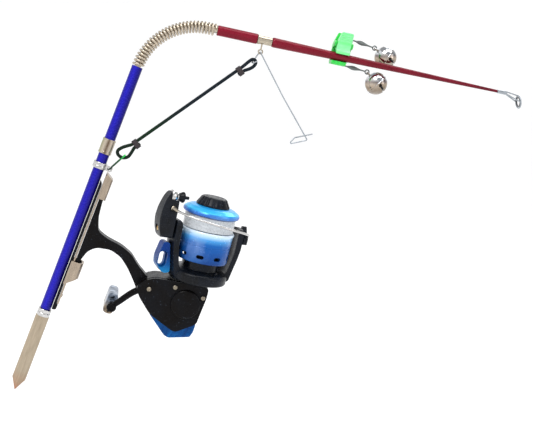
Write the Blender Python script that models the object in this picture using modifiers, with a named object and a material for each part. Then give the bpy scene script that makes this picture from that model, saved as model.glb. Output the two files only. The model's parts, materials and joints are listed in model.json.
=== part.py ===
"""Spring-loaded ice fishing tip-up rod with a spinning reel, a trigger and bells.

Frame: origin at the tip of the ground spike, +Z up along the handle, +X the way the set rod
points, and the side with the reel's cover plate faces -Y. Sizes are in millimetres, and MM turns
them into Blender's metres when a mesh is made.
"""
import math

import bmesh
import bpy
import numpy as np
from mathutils import Matrix, Vector

MM = 0.001
GAP = 0.3                      # clearance between pieces that touch

# Handle, from the spike's tip upwards
SPIKE_TOP = 63.7
SPIKE_HALF_WIDTH = 5.3
SPIKE_DEPTH = 4.4
SPIKE_WALL = 1.8
SPIKE_POINT = 9.0
COLLAR_BOTTOM = 64.0
COLLAR_TOP = 70.0
TUBE_R = 4.2
TUBE_BORE = 3.4
TUBE_JOINT = 207.0
FERRULE_BOTTOM = 201.0
FERRULE_TOP = 213.0
ANCHOR_BOTTOM = 189.0
ANCHOR_TOP = 194.0
ANCHOR_TURN = -25.0            # degrees about the handle, where the anchor's lug stands
LUG_REACH = 8.4
HANDLE_TOP = 272.0

# Reel seat, on the +X side of the lower tube
BACKING_FACE = 6.6
PLATE_BACK = 6.9
PLATE_FACE = 8.2
PLATE_HALF_WIDTH = 5.5
PLATE_BOTTOM = 78.0
PLATE_TOP = 186.0
FOOT_BACK = 8.6
FOOT_FACE = 11.6
FOOT_HALF_WIDTH = 4.5
FOOT_BOTTOM = 99.0
FOOT_TOP = 183.0

# Coil spring: an arc in three sections, then a short straight end on the rod's plug
BEND_TOTAL = 79.5
SECTIONS = 3
BEND_R = 47.6
COIL_R = 3.9
COIL_WIRE_R = 0.9
COIL_PITCH = 2.6
COIL_TAIL = 6.9
COIL_POINTS = 8                # points in each turn

# Rod, by distance from the end of the spring's arc
BUTT_START = 7.3
BUTT_END = 38.5
BUTT_R = 3.9
BUTT_BORE = 3.2
ROD_FERRULE_END = 50.1
ROD_FERRULE_R = 3.2
ROD_END = 238.6
ROD_ROOT_R = 3.8
ROD_TIP_R = 1.1
TRIGGER_AT = (43.0, -9.3)      # along the rod, and above its axis
GUIDE_CENTRE = (258.8, -4.8)
GUIDE_RING_R = 4.9
GUIDE_WIRE_R = 0.55
GUIDE_LEAN = 16.0

# Bell clip and bells, in the same measure along the rod
CLIP_START = 98.6
CLIP_END = 113.6
CLIP_PIN = (0.6, 9.5)          # y, and above the rod's axis
BELL_R = 8.9
BELL_WALL = 0.7
BELL_HANG = 11.8               # bell's centre to its hinge
BELLS = (
    # along the rod, y, above its axis, and the direction from the bell to its hinge
    {"centre": (144.9, 12.9, 7.7), "hinge_way": (-0.891, 0.455), "root": (113.6, 7.0, 15.0)},
    {"centre": (139.7, 4.5, -14.0), "hinge_way": (-0.789, 0.615), "root": (110.8, 7.0, -5.6)},
)

# Reel: its frame's origin is on the spool's axis, at the rotor's underside
REEL_AT = (102.6, 0.0, 132.5)
REEL_LEAN = 9.0                # degrees, the spool's end nearer to the handle
ROTOR_PHASE = 18.0
HOUSING_HALF = 12.0
CRANK_AT = (-5.8, -18.0)       # x and z in the reel's frame
CRANK_END = (51.5, 74.6)       # x and z of the knob's pin
KNOB_START = 52.5
KNOB_END = 85.5
KNOB_HALF_WIDTH = 4.6
KNOB_HALF_HEIGHT = 9.4
KNOB_OFFSET = -1.0             # the oval's middle, from the pin along x
BAIL_PIVOT_Z = 38.0

# Tether, from the anchor's lug to the trigger
TETHER_R = 1.3
TETHER_BOUND = ((18.5, -2.6, 217.75), (72.3, 0.0, 299.1))   # the long run, at its two bindings
TAIL_GAP = 3.1                 # between the long run and the tail bound to it
LOWER_EYE = ((18.8, 209.8), (17.4, 205.4), (13.8, 203.3), (9.9, 204.3), (8.7, 207.2),
             (11.0, 210.6), (14.4, 213.4))
UPPER_EYE = ((75.7, 304.7), (77.2, 307.4), (79.0, 309.9), (81.2, 310.4), (82.7, 308.5),
             (82.0, 305.4), (79.6, 302.4))
LINK_TOP = (15.0, -2.6, 205.9)
HOOK = (80.0, 307.7)           # x and z of the trigger's hook, in the tether's upper eye

COLOURS = {
    # name: (red, green, blue), roughness, metallic
    "blue_tube": ((0.02, 0.02, 0.55), 0.25, 0.3),
    "red_rod": ((0.36, 0.01, 0.03), 0.3, 0.1),
    "tan_steel": ((0.45, 0.36, 0.26), 0.35, 0.9),
    "nickel": ((0.72, 0.68, 0.62), 0.25, 1.0),
    "chrome": ((0.86, 0.86, 0.88), 0.08, 1.0),
    "spring_steel": ((0.55, 0.5, 0.42), 0.3, 1.0),
    "black_plastic": ((0.012, 0.012, 0.014), 0.3, 0.0),
    "blue_plastic": ((0.01, 0.12, 0.55), 0.25, 0.0),
    "green_plastic": ((0.12, 0.85, 0.25), 0.35, 0.0),
    "grey_metal": ((0.4, 0.42, 0.45), 0.4, 0.7),
    "line": ((0.85, 0.88, 0.9), 0.3, 0.0),
    "cord": ((0.02, 0.03, 0.03), 0.7, 0.0),
    "brass": ((0.7, 0.5, 0.22), 0.3, 1.0),
}

for old in list(bpy.data.objects):
    bpy.data.objects.remove(old, do_unlink=True)

PARTS = bpy.data.collections.new("ice_fishing_tip_up")
CUTTERS = bpy.data.collections.new("cutters")
bpy.context.scene.collection.children.link(PARTS)
bpy.context.scene.collection.children.link(CUTTERS)


# ---------------------------------------------------------------- helpers

def make_material(name):
    colour, roughness, metallic = COLOURS[name]
    material = bpy.data.materials.new(name)
    material.use_nodes = True
    shader = material.node_tree.nodes["Principled BSDF"]
    shader.inputs["Base Color"].default_value = (*colour, 1.0)
    shader.inputs["Roughness"].default_value = roughness
    shader.inputs["Metallic"].default_value = metallic
    material.diffuse_color = (*colour, 1.0)
    return material


MATERIALS = {name: make_material(name) for name in COLOURS}


def axis_empty(name, frame, parent=None):
    """An empty on a joint's axis. The pieces of that joint's body are its children."""
    empty = bpy.data.objects.new(name, None)
    empty.empty_display_size = 5 * MM
    PARTS.objects.link(empty)
    empty.matrix_basis = frame
    set_parent(empty, parent)
    return empty


def set_parent(obj, parent):
    if parent is not None:
        bpy.context.view_layer.update()
        obj.parent = parent
        obj.matrix_parent_inverse = parent.matrix_world.inverted()


def shift(x=0.0, y=0.0, z=0.0):
    return Matrix.Translation((x * MM, y * MM, z * MM))


def turn(degrees, axis):
    return Matrix.Rotation(math.radians(degrees), 4, axis)


def add(name, data, colour, frame=Matrix(), parent=None):
    """Add a piece, or a cutter where colour is None."""
    obj = bpy.data.objects.new(name, data)
    obj.matrix_basis = frame
    if colour is None:
        CUTTERS.objects.link(obj)
        obj.hide_render = True
        obj.display_type = "WIRE"
    else:
        PARTS.objects.link(obj)
        data.materials.append(MATERIALS[colour])
        set_parent(obj, parent)
    return obj


def turned(name, colour, outer, inner=(), frame=Matrix(), parent=None, steps=20):
    """A turned piece about local Z. outer runs top to bottom, and inner bottom to top."""
    profile = list(outer) + list(inner)
    if not inner:
        if outer[0][0] > 0:
            profile.insert(0, (0.0, outer[0][1]))
        if outer[-1][0] > 0:
            profile.append((0.0, outer[-1][1]))
    edges = [(i, i + 1) for i in range(len(profile) - 1)]
    if inner:
        edges.append((len(profile) - 1, 0))
    mesh = bpy.data.meshes.new(name)
    mesh.from_pydata([(r * MM, 0.0, z * MM) for r, z in profile], edges, [])
    obj = add(name, mesh, colour, frame, parent)
    screw = obj.modifiers.new("Turn", "SCREW")
    screw.angle = 2 * math.pi
    screw.steps = steps
    screw.render_steps = steps
    screw.use_merge_vertices = True
    screw.merge_threshold = 0.00001
    screw.use_smooth_shade = True
    return obj


def to_mesh(obj):
    """Replace a curve object by its evaluated, welded mesh."""
    bpy.context.view_layer.update()
    graph = bpy.context.evaluated_depsgraph_get()
    mesh = bpy.data.meshes.new_from_object(obj.evaluated_get(graph))
    weld = bmesh.new()
    weld.from_mesh(mesh)
    bmesh.ops.remove_doubles(weld, verts=weld.verts, dist=0.000005)
    bmesh.ops.recalc_face_normals(weld, faces=weld.faces)
    weld.to_mesh(mesh)
    weld.free()
    name, world, parent = obj.name, obj.matrix_world.copy(), obj.parent
    holder = obj.users_collection[0]
    hidden = obj.hide_render
    bpy.data.objects.remove(obj, do_unlink=True)
    solid = bpy.data.objects.new(name, mesh)
    holder.objects.link(solid)
    solid.matrix_basis = world
    solid.hide_render = hidden
    solid.display_type = "WIRE" if hidden else "TEXTURED"
    set_parent(solid, parent)
    return solid


def plate(name, colour, outline, thickness, holes=(), frame=Matrix(), parent=None, bevel=0.0):
    """A flat outline in local XY, thickness centred on it along local Z."""
    curve = bpy.data.curves.new(name, "CURVE")
    curve.dimensions = "2D"
    curve.fill_mode = "BOTH"
    curve.extrude = thickness / 2 * MM
    for ring in (outline, *holes):
        spline = curve.splines.new("POLY")
        spline.points.add(len(ring) - 1)
        for point, (x, y) in zip(spline.points, ring):
            point.co = (x * MM, y * MM, 0.0, 1.0)
        spline.use_cyclic_u = True
    solid = to_mesh(add(name, curve, colour, frame, parent))
    if bevel:
        rounding = solid.modifiers.new("Edges", "BEVEL")
        rounding.width = bevel * MM
        rounding.segments = 2
        rounding.limit_method = "ANGLE"
        rounding.angle_limit = math.radians(50)
    return solid


def strand(name, colour, points, radius, frame=Matrix(), parent=None, closed=False, radii=None):
    """A round wire through the points."""
    curve = bpy.data.curves.new(name, "CURVE")
    curve.dimensions = "3D"
    curve.bevel_depth = radius * MM
    curve.bevel_resolution = 2
    curve.use_fill_caps = True
    curve.render_resolution_u = 0
    spline = curve.splines.new("POLY")
    spline.points.add(len(points) - 1)
    for index, place in enumerate(points):
        spline.points[index].co = (*(c * MM for c in place), 1.0)
        spline.points[index].radius = radii[index] if radii else 1.0
    spline.use_cyclic_u = closed
    return add(name, curve, colour, frame, parent)


def block(name, colour, low, high, frame=Matrix(), parent=None, bevel=0.0):
    """A box between two corners."""
    mesh = bpy.data.meshes.new(name)
    box = bmesh.new()
    bmesh.ops.create_cube(box, size=1.0)
    size = [h - l for l, h in zip(low, high)]
    middle = [(h + l) / 2 for l, h in zip(low, high)]
    bmesh.ops.scale(box, vec=[s * MM for s in size], verts=box.verts)
    bmesh.ops.translate(box, vec=[m * MM for m in middle], verts=box.verts)
    box.to_mesh(mesh)
    box.free()
    obj = add(name, mesh, colour, frame, parent)
    if bevel:
        rounding = obj.modifiers.new("Edges", "BEVEL")
        rounding.width = bevel * MM
        rounding.segments = 2
    return obj


def ball(name, colour, radius, frame=Matrix(), parent=None, around=14, up=9):
    mesh = bpy.data.meshes.new(name)
    sphere = bmesh.new()
    bmesh.ops.create_uvsphere(sphere, u_segments=around, v_segments=up, radius=radius * MM)
    sphere.to_mesh(mesh)
    sphere.free()
    mesh.shade_smooth()
    return add(name, mesh, colour, frame, parent)


def ring_wire(name, colour, radius, wire, frame=Matrix(), parent=None, around=14):
    """A round ring of wire about local Z."""
    steps = [2 * math.pi * i / around for i in range(around)]
    points = [(radius * math.cos(a), radius * math.sin(a), 0.0) for a in steps]
    return strand(name, colour, points, wire, frame, parent, closed=True)


def boolean(target, operation, *tools):
    for tool in tools:
        if tool.type == "CURVE":
            tool = to_mesh(tool)
        step = target.modifiers.new(tool.name, "BOOLEAN")
        step.operation = operation
        step.object = tool
    return target


def rounded(corners, radius, steps=3):
    """A closed outline with its corners rounded."""
    points = []
    count = len(corners)
    for i in range(count):
        here = Vector(corners[i])
        before = Vector(corners[i - 1]) - here
        after = Vector(corners[(i + 1) % count]) - here
        reach = min(radius, before.length * 0.45, after.length * 0.45)
        first = here + before.normalized() * reach
        last = here + after.normalized() * reach
        for k in range(steps + 1):
            t = k / steps
            points.append(tuple(first * (1 - t) ** 2 + here * 2 * t * (1 - t) + last * t * t))
    return points


def circle(x, y, radius, steps=14):
    angles = [2 * math.pi * k / steps for k in range(steps)]
    return [(x + radius * math.cos(a), y + radius * math.sin(a)) for a in angles]


def stadium(half_length, radius, steps=5):
    """An outline with round ends, its length along x."""
    points = []
    for side, start in ((1, -90), (-1, 90)):
        for k in range(steps + 1):
            a = math.radians(start + 180 * k / steps)
            points.append((side * half_length + radius * math.cos(a), radius * math.sin(a)))
    return points


def through(points, per_span):
    """Points on a smooth curve through the given ones."""
    points = [Vector(p) for p in points]
    path = []
    for i in range(len(points) - 1):
        a = points[max(i - 1, 0)]
        b = points[i]
        c = points[i + 1]
        d = points[min(i + 2, len(points) - 1)]
        for k in range(per_span):
            t = k / per_span
            path.append(0.5 * (2 * b + (c - a) * t + (2 * a - 5 * b + 4 * c - d) * t * t
                               + (3 * b - a - 3 * c + d) * t ** 3))
    path.append(points[-1])
    return [tuple(p) for p in path]


def turn_centre(start, target, degrees):
    """The point of the XZ plane about which a turn of degrees takes start to target."""
    angle = math.radians(degrees)
    c, s = math.cos(angle), math.sin(angle)
    spin = np.array([[c, -s], [s, c]])
    return np.linalg.solve(np.eye(2) - spin, np.array(target) - spin @ np.array(start))


# ---------------------------------------------------------------- frames

SECTION_BEND = BEND_TOTAL / SECTIONS
SECTION_LENGTH = BEND_R * math.radians(SECTION_BEND)


def arc_point(length):
    """x, z and lean in degrees of the spring's centre line, length along it."""
    lean = min(length / BEND_R, math.radians(BEND_TOTAL))
    x = BEND_R * (1 - math.cos(lean))
    z = HANDLE_TOP + BEND_R * math.sin(lean)
    extra = length - BEND_R * lean
    return x + extra * math.sin(lean), z + extra * math.cos(lean), math.degrees(lean)


def bend_centre(section):
    """The pivot that straightens one section of the spring at its own length."""
    x0, z0, lean0 = arc_point(section * SECTION_LENGTH)
    x1, z1, _ = arc_point((section + 1) * SECTION_LENGTH)
    way = math.radians(lean0)
    target = (x0 + SECTION_LENGTH * math.sin(way), z0 + SECTION_LENGTH * math.cos(way))
    return turn_centre((x1, z1), target, SECTION_BEND)


ROD_X, ROD_Z, ROD_LEAN = arc_point(SECTIONS * SECTION_LENGTH)
# local x along the rod, y across, z above it
ROD = shift(ROD_X, 0, ROD_Z) @ turn(ROD_LEAN - 90, "Y")
# local z along the rod
ROD_AXIS = ROD @ turn(90, "Y")
REEL = shift(*REEL_AT) @ turn(-REEL_LEAN, "Y")
ROTOR = REEL @ turn(ROTOR_PHASE, "Z")
FLAT_XZ = turn(90, "X")        # takes an outline's x and y to x and z, and its thickness to y
CRANK = REEL @ shift(CRANK_AT[0], 0, CRANK_AT[1]) @ turn(-90, "X")   # local z points to +Y

BENDS = []
for number in range(SECTIONS):
    pivot_x, pivot_z = bend_centre(number)
    above = BENDS[-1] if BENDS else None
    BENDS.append(axis_empty(f"bend_{number + 1}_axis", shift(pivot_x, 0, pivot_z), above))
ROD_BODY = BENDS[-1]


def on_rod(along, across=0.0, above=0.0):
    return ROD @ shift(along, across, above)


# ---------------------------------------------------------------- handle

def build_spike():
    half, depth, wall = SPIKE_HALF_WIDTH, SPIKE_DEPTH, SPIKE_WALL
    ridge = -0.65 * depth
    wing = ridge + depth
    section = [(-half, wing), (0, ridge), (half, wing),
               (half, wing + wall), (0, ridge + wall), (-half, wing + wall)]
    spike = plate("ground_spike", "tan_steel", section, SPIKE_TOP, frame=shift(0, 0, SPIKE_TOP / 2))
    side = [(0, 0), (half + 1, SPIKE_POINT * 1.1), (half + 1, SPIKE_TOP + 1),
            (-half - 1, SPIKE_TOP + 1), (-half - 1, SPIKE_POINT * 1.1)]
    point = plate("spike_point", None, side, 4 * depth, frame=FLAT_XZ)
    boolean(spike, "INTERSECT", point)
    stub = TUBE_BORE - GAP
    turned("spike_collar", "nickel",
           [(stub - 0.5, 84), (stub, 83.5), (stub, COLLAR_TOP), (4.8, COLLAR_TOP), (5.2, 69.6),
            (5.2, COLLAR_BOTTOM + 0.4), (4.8, COLLAR_BOTTOM)])


def build_tubes():
    for name, low, high in (("lower_tube", COLLAR_TOP + GAP, TUBE_JOINT - GAP / 2),
                            ("upper_tube", TUBE_JOINT + GAP / 2, HANDLE_TOP)):
        turned(name, "blue_tube", [(TUBE_R, high), (TUBE_R, low)],
               [(TUBE_BORE, low), (TUBE_BORE, high)])
    bore = TUBE_R + GAP
    turned("tube_ferrule", "nickel",
           [(bore + 0.2, FERRULE_TOP), (5.1, FERRULE_TOP - 0.4), (5.1, FERRULE_BOTTOM + 0.4),
            (bore + 0.2, FERRULE_BOTTOM)],
           [(bore, FERRULE_BOTTOM), (bore, FERRULE_TOP)])
    stub = TUBE_BORE - GAP
    turned("spring_plug_lower", "spring_steel",
           [(2.2, 275.4), (2.5, 275), (2.5, HANDLE_TOP), (stub, HANDLE_TOP - 0.5), (stub, 260)])


def build_anchor():
    ring = turned("anchor_ring", "nickel",
                  [(5.2, ANCHOR_TOP), (5.5, ANCHOR_TOP - 0.4), (5.5, ANCHOR_BOTTOM + 0.4),
                   (5.2, ANCHOR_BOTTOM)],
                  [(TUBE_R + GAP, ANCHOR_BOTTOM), (TUBE_R + GAP, ANCHOR_TOP)])
    middle = (ANCHOR_BOTTOM + ANCHOR_TOP) / 2
    outline = rounded([(5.2, middle - 2.2), (10.8, middle - 2.2), (10.8, middle + 2.2),
                       (5.2, middle + 2.2)], 1.6)
    lug = plate("anchor_lug", None, outline, 1.4, holes=[circle(LUG_REACH, middle, 1.35, 10)],
                frame=turn(ANCHOR_TURN, "Z") @ FLAT_XZ)
    boolean(ring, "UNION", lug)


def build_seat():
    backing = rounded([(TUBE_R + GAP, 72), (7.7, 72.6), (7.9, 76.6), (BACKING_FACE, 78),
                       (BACKING_FACE, 178), (TUBE_R + GAP, 181)], 0.8, 2)
    plate("seat_backing", "black_plastic", backing, 7.0, frame=FLAT_XZ)
    seat = block("seat_plate", "nickel", (PLATE_BACK, -PLATE_HALF_WIDTH, PLATE_BOTTOM),
                 (PLATE_FACE, PLATE_HALF_WIDTH, PLATE_TOP))
    hood_low, hood_high = 167.5, 188.0
    outer = rounded([(PLATE_BACK, -6.4), (13.4, -6.4), (13.4, 6.4), (PLATE_BACK, 6.4)], 2.4, 3)
    hood = plate("fixed_hood", None, outer, hood_high - hood_low,
                 frame=shift(0, 0, (hood_low + hood_high) / 2))
    pocket = block("hood_pocket", None, (PLATE_FACE, -FOOT_HALF_WIDTH - GAP, hood_low - 1),
                   (FOOT_FACE + GAP, FOOT_HALF_WIDTH + GAP, 184.5))
    slant = plate("hood_slant", None, [(5, 189.5), (16, 182.5), (16, 200), (5, 200)], 20,
                  frame=FLAT_XZ)
    boolean(seat, "UNION", hood)
    boolean(seat, "DIFFERENCE", pocket, slant)


def build_sliding_hood():
    low, high = 95.4, 114.7
    slide = axis_empty("hood_slide_axis", shift(11, 0, (low + high) / 2))
    side = PLATE_HALF_WIDTH + GAP
    lip = 3.9
    back = PLATE_BACK - 1.3
    section = [(back, -7.0), (13.0, -7.0), (15.2, -4.6), (15.2, 4.6), (13.0, 7.0), (back, 7.0),
               (back, lip), (PLATE_BACK - GAP, lip), (PLATE_BACK - GAP, side), (12.0, side),
               (13.6, 4.0), (13.6, -4.0), (12.0, -side), (PLATE_BACK - GAP, -side),
               (PLATE_BACK - GAP, -lip), (back, -lip)]
    hood = plate("sliding_hood", "nickel", section, high - low,
                 frame=shift(0, 0, (low + high) / 2), parent=slide)
    slant = plate("sliding_hood_slant", None, [(5, 94), (17, 104), (17, 90), (5, 90)], 20,
                  frame=FLAT_XZ)
    boolean(hood, "DIFFERENCE", slant)


# ---------------------------------------------------------------- spring and rod

def build_spring():
    total = SECTIONS * SECTION_LENGTH + COIL_TAIL
    start = GAP + COIL_WIRE_R
    for section in range(SECTIONS):
        low = max(section * SECTION_LENGTH + (GAP / 4 if section else 0), start)
        high = (section + 1) * SECTION_LENGTH - GAP / 4
        if section == SECTIONS - 1:
            high = total - COIL_WIRE_R
        steps = max(int((high - low) / COIL_PITCH * COIL_POINTS), 2)
        points = []
        for k in range(steps + 1):
            length = low + (high - low) * k / steps
            x, z, lean = arc_point(length)
            spin = 2 * math.pi * length / COIL_PITCH
            out = COIL_R * math.cos(spin)
            way = math.radians(lean)
            points.append((x + out * math.cos(way), COIL_R * math.sin(spin),
                           z - out * math.sin(way)))
        body = BENDS[section - 1] if section else None
        strand(f"spring_{section + 1}", "spring_steel", points, COIL_WIRE_R, parent=body)


def build_rod():
    stub = BUTT_BORE - GAP
    turned("spring_plug_upper", "spring_steel",
           [(stub, 18), (stub, BUTT_START + 0.4), (2.5, BUTT_START), (2.5, -2.6), (2.2, -3.0)],
           frame=ROD_AXIS, parent=ROD_BODY)
    turned("butt_tube", "red_rod", [(BUTT_R, BUTT_END), (BUTT_R, BUTT_START)],
           [(BUTT_BORE, BUTT_START), (BUTT_BORE, BUTT_END)], frame=ROD_AXIS, parent=ROD_BODY)
    ferrule = turned("rod_ferrule", "nickel",
                     [(ROD_FERRULE_R, ROD_FERRULE_END), (ROD_FERRULE_R, 42.5),
                      (3.7, BUTT_END + 0.8), (3.7, BUTT_END + GAP), (stub, BUTT_END + GAP),
                      (stub, 30)],
                     frame=ROD_AXIS, parent=ROD_BODY)
    bore = turned("ferrule_bore", None, [(2.5, ROD_FERRULE_END + 1), (2.5, 43)], frame=ROD_AXIS)
    along, above = TRIGGER_AT
    eye = ring_wire("ferrule_eye", None, 1.6, 0.55, frame=on_rod(along, 0, above + 0.4) @ FLAT_XZ)
    stem = strand("ferrule_stem", None, [(along, 0, -3.0), (along, 0, above + 2.0)], 0.6,
                  frame=ROD)
    boolean(ferrule, "DIFFERENCE", bore)
    boolean(ferrule, "UNION", stem, eye)
    turned("rod_blank", "red_rod",
           [(0.6, 244.5), (0.6, ROD_END), (ROD_TIP_R, ROD_END), (ROD_ROOT_R, 52),
            (ROD_ROOT_R - 0.3, ROD_FERRULE_END + GAP), (2.2, ROD_FERRULE_END + GAP), (2.2, 44)],
           frame=ROD_AXIS, parent=ROD_BODY, steps=16)


def build_tip_guide():
    along, above = GUIDE_CENTRE
    sleeve = turned("guide_frame", "chrome",
                    [(1.2, 247), (1.45, 246.6), (1.45, ROD_END + GAP)],
                    [(0.9, ROD_END + GAP), (0.9, 245.2), (0.02, 245.2), (0.02, 247)],
                    frame=ROD_AXIS, parent=ROD_BODY, steps=12)
    plane = on_rod(along, 0, above) @ turn(90 - GUIDE_LEAN, "Y")
    ring = ring_wire("guide_outer", None, GUIDE_RING_R, GUIDE_WIRE_R, frame=plane)
    lean = math.radians(GUIDE_LEAN)
    top = (along - GUIDE_RING_R * math.sin(lean), 0, above + GUIDE_RING_R * math.cos(lean))
    legs = [strand("guide_leg_top", None, [(244, 0, 1.1), (246.5, 0, 1.1), top], 0.5, frame=ROD)]
    for side in (-1, 1):
        end = (along, side * GUIDE_RING_R, above)
        points = [(243.5, side * 1.1, -0.6), (246.5, side * 1.2, -0.6), end]
        legs.append(strand(f"guide_leg_{side}", None, points, 0.5, frame=ROD))
    boolean(sleeve, "UNION", ring, *legs)
    outer = GUIDE_RING_R - GUIDE_WIRE_R - GAP
    turned("guide_insert", "black_plastic",
           [(outer - 0.3, 0.7), (outer, 0.4), (outer, -0.4), (outer - 0.3, -0.7)],
           [(3.2, -0.5), (3.0, 0), (3.2, 0.5)], frame=plane, parent=ROD_BODY, steps=16)


def build_trigger():
    along, above = TRIGGER_AT
    axis = axis_empty("trigger_axis", on_rod(along, 0, above), ROD_BODY)
    pivot = on_rod(along, 0, above).translation / MM
    px, pz = pivot.x, pivot.z
    hook_x, hook_z = HOOK
    points = [(hook_x + 2.6, -2.9, hook_z + 2.2), (hook_x + 0.6, -2.4, hook_z + 0.1),
              (hook_x, -1.6, hook_z), (hook_x, 1.6, hook_z), (hook_x + 0.3, 2.4, hook_z + 0.7),
              (px - 0.6, 2.4, pz - 1.2), (px, 1.7, pz), (px, -1.7, pz),
              (px + 0.8, -2.4, pz - 1.0), (111.9, -2.4, 292.6), (142.5, -2.4, 268.9),
              (142.2, -2.2, 267.9), (132.2, -1.6, 261.3), (131.2, -1.2, 261.8),
              (133.2, -0.6, 266.6), (134.4, -0.4, 267.3), (145.6, 0.2, 274.4)]
    strand("trigger_wire", "chrome", points, 0.5, parent=axis)


# ---------------------------------------------------------------- clip and bells

def build_clip():
    middle = (CLIP_START + CLIP_END) / 2
    width = CLIP_END - CLIP_START
    pin_y, pin_z = CLIP_PIN
    # an outline's x and y stand for y and height above the rod, and its thickness runs along it
    across = on_rod(middle) @ turn(90, "Y") @ turn(90, "Z")
    back = plate("clip_back_jaw", "green_plastic",
                 rounded([(6.0, 17.6), (4.2, 18.6), (3.7, 12), (3.7, -3.5), (-3.4, -3.5),
                          (-4.0, -5.6), (-2.6, -6.6), (4.6, -6.6), (6.0, -5.0)], 1.0, 2),
                 width, frame=across, parent=ROD_BODY)
    ears = []
    for end in (-1, 1):
        ear = plate(f"clip_ear_{end}", None,
                    rounded([(4.5, 6.6), (4.5, 12.4), (-1.6, 11.6), (-1.6, 7.4)], 1.4, 2), 1.6,
                    holes=[circle(pin_y, pin_z, 0.9, 8)],
                    frame=on_rod(middle + end * (width / 2 - 0.8)) @ turn(90, "Y") @ turn(90, "Z"))
        ears.append(ear)
    boolean(back, "UNION", *ears)
    slants = plate("clip_slants", None,
                   rounded([(CLIP_START - 2, -9), (109.4, -9), (110.6, -3.4), (CLIP_END + 1, -2.6),
                            (CLIP_END + 1, 21), (102.4, 21), (CLIP_START - 1, 7)], 1.0, 2), 40,
                   frame=ROD @ FLAT_XZ)
    boolean(back, "INTERSECT", slants)
    hinge = axis_empty("clip_axis", on_rod(middle, pin_y, pin_z), ROD_BODY)
    plate("clip_front_jaw", "green_plastic",
          rounded([(2.6, 8.4), (2.6, 10.8), (-1.4, 13.4), (-5.2, 19.4), (-7.0, 18.2),
                   (-3.6, 11.8), (-2.4, 7.0), (-4.6, 3.8), (-4.4, 2.2), (-3.2, 2.2),
                   (-0.8, 4.2), (1.6, 5.2)], 0.8, 2),
          width - 4.2, holes=[circle(pin_y, pin_z, 0.95, 8)], frame=across, parent=hinge)
    turned("clip_pin", "nickel", [(0.6, width / 2 + 0.5), (0.6, -width / 2 - 0.5)],
           frame=on_rod(middle, pin_y, pin_z) @ turn(90, "Y"), parent=ROD_BODY, steps=10)
    turns, points_each, coil_r = 3, 8, 1.4
    start_y, end_y, height = 3.3, -0.7, 15.6
    coil = []
    for k in range(turns * points_each + 1):
        share = k / (turns * points_each)
        spin = 2 * math.pi * k / points_each
        coil.append((coil_r * math.cos(spin), start_y + (end_y - start_y) * share,
                     height + coil_r * math.sin(spin)))
    strand("clip_spring", "spring_steel", coil, 0.3, frame=on_rod(middle), parent=ROD_BODY)


def build_bells():
    for number, bell in enumerate(BELLS, 1):
        x, y, z = bell["centre"]
        way_x, way_z = bell["hinge_way"]
        hinge = (x + way_x * BELL_HANG, y, z + way_z * BELL_HANG)
        axis = axis_empty(f"bell_{number}_axis", on_rod(*hinge), ROD_BODY)
        root = bell["root"]
        bend = (root[0] + 8, (root[1] * 2 + y) / 3, (root[2] * 2 + hinge[2]) / 3)
        near = (hinge[0] - 1.6, y, hinge[2] + 0.2)
        stem = to_mesh(strand(f"bell_stem_{number}", "nickel",
                              through([root, bend, near], 4), 0.6, frame=ROD, parent=ROD_BODY))
        eye = ring_wire(f"stem_eye_{number}", None, 1.6, 0.5, frame=on_rod(*hinge) @ FLAT_XZ,
                        around=10)
        boolean(stem, "UNION", eye)
        # local z points from the bell's centre to its hinge
        lean = math.degrees(math.atan2(way_x, way_z))
        inside = on_rod(x, y, z) @ turn(lean, "Y")
        shell = ball(f"bell_shell_{number}", "chrome", BELL_R, inside, axis)
        hollow = ball(f"bell_hollow_{number}", None, BELL_R - BELL_WALL, inside)
        slot = block(f"bell_slot_{number}", None, (-BELL_R - 1, -0.8, -BELL_R - 1),
                     (BELL_R + 1, 0.8, -1.0), inside)
        cross = block(f"bell_cross_{number}", None, (-0.8, -BELL_R - 1, -BELL_R - 1),
                      (0.8, BELL_R + 1, -1.0), inside)
        staple = ring_wire(f"bell_staple_{number}", None, 1.6, 0.5,
                           inside @ shift(0, 0, BELL_HANG - 1.6) @ turn(90, "Y"), around=10)
        boolean(shell, "UNION", staple)
        boolean(shell, "DIFFERENCE", hollow, slot, cross)
        ball(f"bell_clapper_{number}", "grey_metal", 2.6, inside @ shift(0, 0, -5.4), axis, 12, 8)


# ---------------------------------------------------------------- tether

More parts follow.
